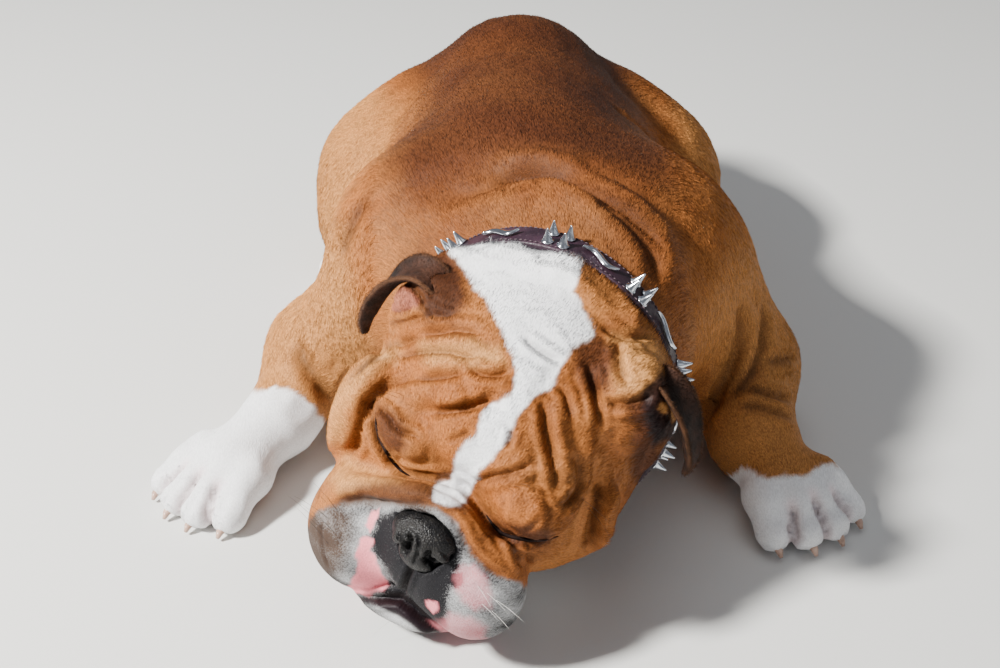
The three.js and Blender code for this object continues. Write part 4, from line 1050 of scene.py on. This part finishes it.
made = bmesh.new()
made.from_mesh(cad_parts["collar_strap"].data)
bmesh.ops.remove_doubles(made, verts=made.verts, dist=1e-6)
bmesh.ops.join_triangles(made, faces=made.faces, angle_face_threshold=0.6, angle_shape_threshold=3.1)
edges = [edge for edge in made.edges if edge.is_manifold and edge.calc_face_angle() > math.radians(24)]
bmesh.ops.bevel(made, geom=edges, offset=0.0007, affect="EDGES", segments=2, profile=0.5, material=-1)
strap = finished(made, "leather_strap", strap_leather, ["collar_strap"])
rounded = strap.modifiers.new("rounded", "SUBSURF")
rounded.levels = rounded.render_levels = 2
strap_tree = tree_of(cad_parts["collar_strap"].data)


def on_strap(angle, along):
    """A point on the strap's outer face."""
    far, near = on_ring(angle, along, 0.2), on_ring(angle, along, 0)
    return strap_tree.ray_cast(far, near - far)[0]


thread, tree, shader, place = new_material("waxed_thread", roughness=0.55)
twist = node(tree, "ShaderNodeTexWave", {"Vector": place, "Scale": 500, "Distortion": 2}).outputs["Fac"]
tree.links.new(mixed(tree, twist, (0.05, 0.03, 0.04, 1), (0.12, 0.08, 0.09, 1)), shader.inputs["Base Color"])
bumped(tree, shader, twist, 0.5, 0.0002)
made = bmesh.new()
for along in (-0.0078, 0.0078):
    for i in range(STITCHES):
        here, there = (on_strap(2 * math.pi * (i + 0.3 * end) / STITCHES, along) for end in (-1, 1))
        if here is not None and there is not None:
            out = (here - on_ring(2 * math.pi * i / STITCHES, along, 0)).normalized() * 0.0002
            tube(made, [here, here.lerp(there, 0.5) + out, there], [0.0003, 0.00042, 0.0003], 6)
finished(made, "strap_stitches", thread)


# Spikes, plates and buckle of the collar
# Cast metal, polished and plated. The cone spikes and wavy plates are screwed through the strap, and the
# buckle's frame with its tongue lies under the throat.
polished, tree, shader, place = new_material("polished_metal", metallic=1)
haze = noise(tree, place, 260, 5)
scratch = noise(tree, place, 2400, 2)
tree.links.new(mixed(tree, ranged(tree, haze, 0.4, 0.7), (0.66, 0.69, 0.74, 1), (0.42, 0.44, 0.48, 1)),
               shader.inputs["Base Color"])
tree.links.new(ranged(tree, haze, 0.35, 0.7, 0.1, 0.3), shader.inputs["Roughness"])
bumped(tree, shader, scratch, 0.08, 0.0001)

SPIKE_PROFILE = [  # radius and height in millimetres
    (0, -0.3), (3.8, -0.3), (3.95, 0.2), (3.8, 0.7), (3.3, 0.9),
    (3.1, 1.2), (1.8, 5), (0.75, 8.2), (0.4, 9), (0, 9.2),
]
spikes = sorted(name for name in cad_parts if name.startswith("collar_spike_"))
for name in spikes:
    places = read(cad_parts[name].data, "place")
    middle = places.mean(0)
    axis = np.linalg.svd(places - middle)[2][0]
    if (middle - np.array(COLLAR_AT)) @ axis < 0:
        axis = -axis
    heights = (places - middle) @ axis
    foot = Vector(middle + axis * heights.min())
    made = bmesh.new()
    ring = [made.verts.new((radius / 1000, 0, height / 1000)) for radius, height in SPIKE_PROFILE]
    profile = [made.edges.new(pair) for pair in zip(ring[:-1], ring[1:])]
    bmesh.ops.spin(made, geom=ring + profile, axis=(0, 0, 1), cent=(0, 0, 0), angle=2 * math.pi, steps=28,
                   use_merge=True)
    bmesh.ops.remove_doubles(made, verts=made.verts, dist=1e-6)
    stand = Matrix.Translation(foot) @ Vector(axis).to_track_quat("Z", "Y").to_matrix().to_4x4()
    bmesh.ops.transform(made, matrix=stand, verts=made.verts)
    finished(made, name.replace("collar_", ""), polished, [name])

PLATE_LENGTH, PLATE_WIDTH, PLATE_WAVE = 0.0264, 0.0058, 0.0028
PLATE_STEPS = 26
plates = sorted(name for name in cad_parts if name.startswith("collar_plate_"))
for name in plates:
    places = read(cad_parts[name].data, "place")
    low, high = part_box(name)
    middle = (low + high) / 2
    up = np.linalg.svd(places - places.mean(0))[2][2]
    up = Vector(up if (np.array(middle) - np.array(COLLAR_AT)) @ up > 0 else -up)
    side = COLLAR_WAY.cross(up).normalized()
    made = bmesh.new()
    rows = []
    for row in (-1, -0.45, 0.45, 1):
        line = []
        for i in range(PLATE_STEPS + 1):
            t = i / PLATE_STEPS
            half = PLATE_WIDTH / 2 * math.sin(math.pi * (0.02 + 0.96 * t)) ** 0.6
            crown = 0.0016 if abs(row) < 0.5 else 0.0006
            wave = PLATE_WAVE * math.sin(2 * math.pi * t)
            line.append(made.verts.new(((t - 0.5) * PLATE_LENGTH, wave + row * half, crown)))
        rows.append([made.edges.new(pair) for pair in zip(line[:-1], line[1:])])
    for first, second in zip(rows[:-1], rows[1:]):
        bmesh.ops.bridge_loops(made, edges=first + second)
    bmesh.ops.recalc_face_normals(made, faces=made.faces)
    skirt = bmesh.ops.extrude_face_region(made, geom=made.faces[:])["geom"]
    base = [item for item in skirt if isinstance(item, bmesh.types.BMVert)]
    for vert in base:
        vert.co.z = -0.0006
    stand = Matrix((side, up.cross(side), up)).transposed().to_4x4()
    stand.translation = middle
    bmesh.ops.transform(made, matrix=stand, verts=made.verts)
    plate = finished(made, name.replace("collar_", "wavy_"), polished, [name])
    rounded = plate.modifiers.new("rounded", "SUBSURF")
    rounded.levels = rounded.render_levels = 1

made = bmesh.new()
made.from_mesh(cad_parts["collar_buckle"].data)
bmesh.ops.remove_doubles(made, verts=made.verts, dist=1e-6)
bmesh.ops.join_triangles(made, faces=made.faces, angle_face_threshold=0.9, angle_shape_threshold=3.1)
low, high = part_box("collar_buckle")
middle = (low + high) / 2
tongue_side = COLLAR_TURN @ Vector((1, 0, 0))
TONGUE_COURSE = ((-0.0125, -0.001), (0, -0.0026), (0.0125, -0.0012))
tongue = [middle + tongue_side * x + Vector((0, 0, z)) for x, z in TONGUE_COURSE]
buckle = finished(made, "buckle_frame", polished, ["collar_buckle"])
rounded = buckle.modifiers.new("rounded", "SUBSURF")
rounded.levels = rounded.render_levels = 2
made = bmesh.new()
tube(made, tongue, [0.0014, 0.0014, 0.0009], 12)
finished(made, "buckle_tongue", polished)


# Coat
# Short smooth hair that lies close to the skin, in flat tapered tufts. It runs back from the nose over the
# face, back and down over the trunk, and down the legs to the toes.
TUFTS_PER_PIECE = 48000
EAR_TUFTS = 15000
LEG_JOINTS = (
    ("upper_arm", "forearm"), ("forearm", "forepaw"),
    ("thigh", "lower_hindleg"), ("lower_hindleg", "hind_paw"),
)
LEG_HAIR_RUNS = {}
for side in ("left", "right"):
    for upper, lower in LEG_JOINTS:
        run = sum(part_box(f"{lower}_{side}"), Vector()) - sum(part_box(f"{upper}_{side}"), Vector())
        LEG_HAIR_RUNS[f"{upper}_{side}"] = np.array(run.normalized())
    for paw in ("forepaw", "hind_paw"):
        run = on_paw(f"{paw}_{side}", 1, 0, 0) - on_paw(f"{paw}_{side}", 0, 0, 0.3)
        LEG_HAIR_RUNS[f"{paw}_{side}"] = np.array(run.normalized())
NOSE_OWN = np.array((2.6, -94.0, 6.0))


def hair_run(places, skin):
    """The direction in which the hair lies at points of the dog."""
    if skin is head_skin:
        away = head_own(places) - NOSE_OWN
        return (away / np.linalg.norm(away, axis=1)[:, None] + (0, 0.35, 0.1)) @ HEAD_TURN.T
    run = np.tile((0.0, 1.0, 0.0), (len(places), 1))
    run[:, 2] = -0.5 * smooth((0.17 - places[:, 2]) / 0.1)
    run[:, 0] = 0.35 * np.sign(places[:, 0]) * smooth(np.abs(places[:, 0]) / 0.1)
    for node_name, way in LEG_HAIR_RUNS.items():
        share = np.exp(-((box_distance(places, node_name) / 0.012) ** 2))
        if "thigh" in node_name or "upper" in node_name:
            share *= smooth((np.abs(places[:, 0]) - 0.075) / 0.04)
        run = run * (1 - share[:, None]) + way * share[:, None]
    return run


def strewn(data, count, density, seed):
    """Random points on a skin with their normals, more of them where the density is higher."""
    data.calc_loop_triangles()
    corners = np.empty(len(data.loop_triangles) * 3, int)
    data.loop_triangles.foreach_get("vertices", corners)
    corners = corners.reshape(-1, 3)
    places, normals = read(data, "place"), read(data, "normal")
    a, b, c = (places[corners[:, i]] for i in range(3))
    area = np.linalg.norm(np.cross(b - a, c - a), axis=1) * density((a + b + c) / 3)
    draw = np.random.default_rng(seed)
    chosen = np.searchsorted(np.cumsum(area) / area.sum(), draw.random(count)).clip(0, len(area) - 1)
    share = draw.random((count, 2))
    share[share.sum(1) > 1] = 1 - share[share.sum(1) > 1]
    share = np.column_stack([1 - share.sum(1), share])[:, :, None]
    at = (places[corners[chosen]] * share).sum(1)
    out = (normals[corners[chosen]] * share).sum(1)
    return at, out / np.linalg.norm(out, axis=1)[:, None], draw


def unwrapped(skin):
    """A light copy of a skin, unwrapped: its tree, and its triangles in space and on the unwrap."""
    light = skin.copy()
    light.data = skin.data.copy()
    bpy.context.collection.objects.link(light)
    thinned = light.modifiers.new("thinned", "DECIMATE")
    thinned.ratio = min(1, 5000 / len(light.data.polygons))
    bpy.context.view_layer.update()
    light.data = bpy.data.meshes.new_from_object(light.evaluated_get(bpy.context.evaluated_depsgraph_get()))
    light.modifiers.clear()
    bpy.context.view_layer.objects.active = light
    light.select_set(True)
    bpy.ops.object.mode_set(mode="EDIT")
    bpy.ops.mesh.select_all(action="SELECT")
    bpy.ops.mesh.quads_convert_to_tris()
    bpy.ops.uv.smart_project(angle_limit=math.radians(66), island_margin=0.004)
    bpy.ops.object.mode_set(mode="OBJECT")
    data = light.data
    faces = np.array([list(p.vertices) for p in data.polygons])
    flat = np.empty(len(data.loops) * 2)
    data.uv_layers.active.data.foreach_get("uv", flat)
    places = read(data, "place")
    tree = BVHTree.FromPolygons(places.tolist(), faces.tolist())
    bpy.data.objects.remove(light)
    return tree, places[faces], flat.reshape(-1, 3, 2)


def on_unwrap(unwrap, places):
    """Where points of a skin lie on its unwrap."""
    tree, corners, flat = unwrap
    found = [tree.find_nearest(place) for place in places.tolist()]
    face = np.array([hit[2] for hit in found])
    at = np.array([hit[0] for hit in found])
    a, b, c = (corners[face, i] for i in range(3))
    u, v, w = b - a, c - a, at - a
    uu, uv, vv, wu, wv = ((u * u).sum(1), (u * v).sum(1), (v * v).sum(1), (w * u).sum(1), (w * v).sum(1))
    across = np.maximum(uu * vv - uv * uv, 1e-18)
    s, t = ((vv * wu - uv * wv) / across)[:, None], ((uu * wv - uv * wu) / across)[:, None]
    return flat[face, 0] * (1 - s - t) + flat[face, 1] * s + flat[face, 2] * t


one_tuft = bmesh.new()
bmesh.ops.create_cone(one_tuft, cap_ends=True, segments=3, radius1=0.5, radius2=0, depth=1)
bmesh.ops.translate(one_tuft, vec=(0, 0, 0.5), verts=one_tuft.verts)
bmesh.ops.triangulate(one_tuft, faces=one_tuft.faces)
bmesh.ops.remove_doubles(one_tuft, verts=one_tuft.verts, dist=1e-5)
TUFT_POINTS = np.array([vertex.co for vertex in one_tuft.verts])
TUFT_FACES = np.array([[vertex.index for vertex in face.verts] for face in one_tuft.faces])
one_tuft.free()


def coat_piece(name, surface, unwrap, count, seed, density, looks):
    """Tufts strewn over a mesh as one piece. Looks gives their run, sizes and masks at their roots."""
    at, out, draw = strewn(surface, count, density, seed)
    run, (length, width, lift), values = looks(at)
    run = run + draw.normal(size=(count, 3)) * 0.12
    run -= out * (run * out).sum(1)[:, None]
    run /= np.linalg.norm(run, axis=1)[:, None] + 1e-9
    length = length / 1000 * draw.uniform(0.7, 1.25, count)
    width = width / 1000 * draw.uniform(0.7, 1.3, count)
    lift = np.radians(lift * draw.uniform(0.5, 1.5, count))[:, None]
    along = run * np.cos(lift) + out * np.sin(lift)
    across = np.cross(run, out)
    up = np.cross(across, along)
    local = TUFT_POINTS[None]
    tufts = (at - out * 0.0003)[:, None] + (
        local[:, :, :1] * width[:, None, None] * across[:, None]
        + local[:, :, 1:2] * width[:, None, None] * 0.5 * up[:, None]
        + local[:, :, 2:] * length[:, None, None] * along[:, None]
    )
    corners, faces = len(TUFT_POINTS), len(TUFT_FACES)
    data = bpy.data.meshes.new(name)
    data.vertices.add(count * corners)
    data.vertices.foreach_set("co", np.maximum(tufts, (-9, -9, 0.0002)).ravel())
    data.loops.add(count * faces * 3)
    data.loops.foreach_set("vertex_index", (np.arange(count)[:, None, None] * corners + TUFT_FACES).ravel())
    data.polygons.add(count * faces)
    data.polygons.foreach_set("loop_start", np.arange(count * faces) * 3)
    data.update(calc_edges=True)
    values.update(tone=draw.random(count), skinward=out)
    give_values(data, {key: np.repeat(value, corners, axis=0) for key, value in values.items()})
    patch = on_unwrap(unwrap, at)[:, None, None] + 0.003 * (TUFT_POINTS[TUFT_FACES][None, :, :, :2])
    data.uv_layers.new(name="OFBake").data.foreach_set("uv", patch.ravel())
    data.shade_smooth()
    piece = bpy.data.objects.new(name, data)
    bpy.context.collection.objects.link(piece)
    return piece


def beyond_strap(places):
    """0 under the strap and 1 beside it."""
    return smooth((np.abs(along_neck(places)) - STRAP_HALF) / 0.002)


def head_looks(places):
    own, values = head_own(places), markings(places, head_skin)
    muzzle = smooth((-own[:, 1] - 62) / 12)
    nape = smooth((0.03 + along_neck(places)) / 0.018) * smooth(own[:, 2] / 40)
    length = (4.2 - 1.9 * muzzle + 3.5 * nape) * (1 - 0.4 * values["crease"])
    values["lie"] = lie_of(places, head_skin)
    return hair_run(places, head_skin), (length, 0.44 - 0.2 * muzzle, 8.5 - 3.5 * values["white"]), values


def body_looks(places):
    values = markings(places, body_skin)
    paw = smooth(1 - np.min([box_distance(places, paw) for paw in paws], axis=0) / 0.03)
    values["lie"] = lie_of(places, body_skin)
    sizes = (5.8 - 2.8 * paw) * (1 - 0.4 * values["crease"]), 0.66 - 0.2 * paw, 8.5 - 3.5 * values["white"]
    return hair_run(places, body_skin), sizes, values


def head_density(places):
    own = head_own(places)
    lip = within(places, LIP, 3) * (own[:, 1] < -20)
    bare = np.maximum(lip, 0.55 * within(places, PINK_PATCHES[0], 3))
    bare = np.maximum(bare, 0.45 * creased(places, head_skin))
    for middle, radii in NOSE_MASSES:
        under = np.linalg.norm((own - middle) / (np.array(radii) + 0.5), axis=1)
        bare = np.maximum(bare, under < 1)
    wanted = 0.25 + 1.0 * smooth((own[:, 2] + 70) / 30) + 1.5 * smooth((-own[:, 1] - 62) / 12)
    return wanted * (1 - bare) * beyond_strap(places)


def body_density(places):
    paw = smooth(1 - np.min([box_distance(places, paw) for paw in paws], axis=0) / 0.03)
    return (0.25 + 0.75 * smooth((places[:, 2] - 0.004) / 0.02)) * (1 + paw) * beyond_strap(places)


def flap_looks(shape, ear):
    """The looks of the velvet on an ear, whose masks are those of the nearest point of its shape."""
    near = KDTree(len(shape.vertices))
    for vertex in shape.vertices:
        near.insert(vertex.co, vertex.index)
    near.balance()
    masks = {key: np.array([item.value for item in shape.attributes[key].data]) for key in ("rim", "tip")}
    root = HEAD_AT + HEAD_TURN @ (np.array(EAR_ROWS[ear][0][0]) / 1000)

    def looks(places):
        nearest = np.array([near.find(place)[1] for place in places])
        values = {key: mask[nearest] for key, mask in masks.items()}
        values["lie"] = lie_of(places, head_skin)
        return (places - root) * 10, (3.0, 0.36, 12.0), values

    return looks


hair_coat = coat_material("coat_hair", True)
head_unwrap, body_unwrap = unwrapped(head_skin), unwrapped(body_skin)
COATS = {  # skin, unwrap, pieces, first seed, density and looks
    "head_coat": (head_skin, head_unwrap, 3, 20, head_density, head_looks),
    "body_coat": (body_skin, body_unwrap, 4, 40, body_density, body_looks),
}
for name, (skin, unwrap, pieces, seed, density, looks) in COATS.items():
    for i in range(pieces):
        tufts = (TUFTS_PER_PIECE, seed + i, density, looks)
        dressed(coat_piece(f"{name}_{i + 1}", skin.data, unwrap, *tufts), hair_coat)
for i, (ear, flap) in enumerate(ear_flaps.items()):
    shape = bpy.data.meshes.new_from_object(flap.evaluated_get(bpy.context.evaluated_depsgraph_get()))
    tufts = (EAR_TUFTS, 60 + i, lambda at: 1, flap_looks(shape, ear))
    dressed(coat_piece(f"{ear}_coat", shape, unwrapped(flap), *tufts), ear_velvet)
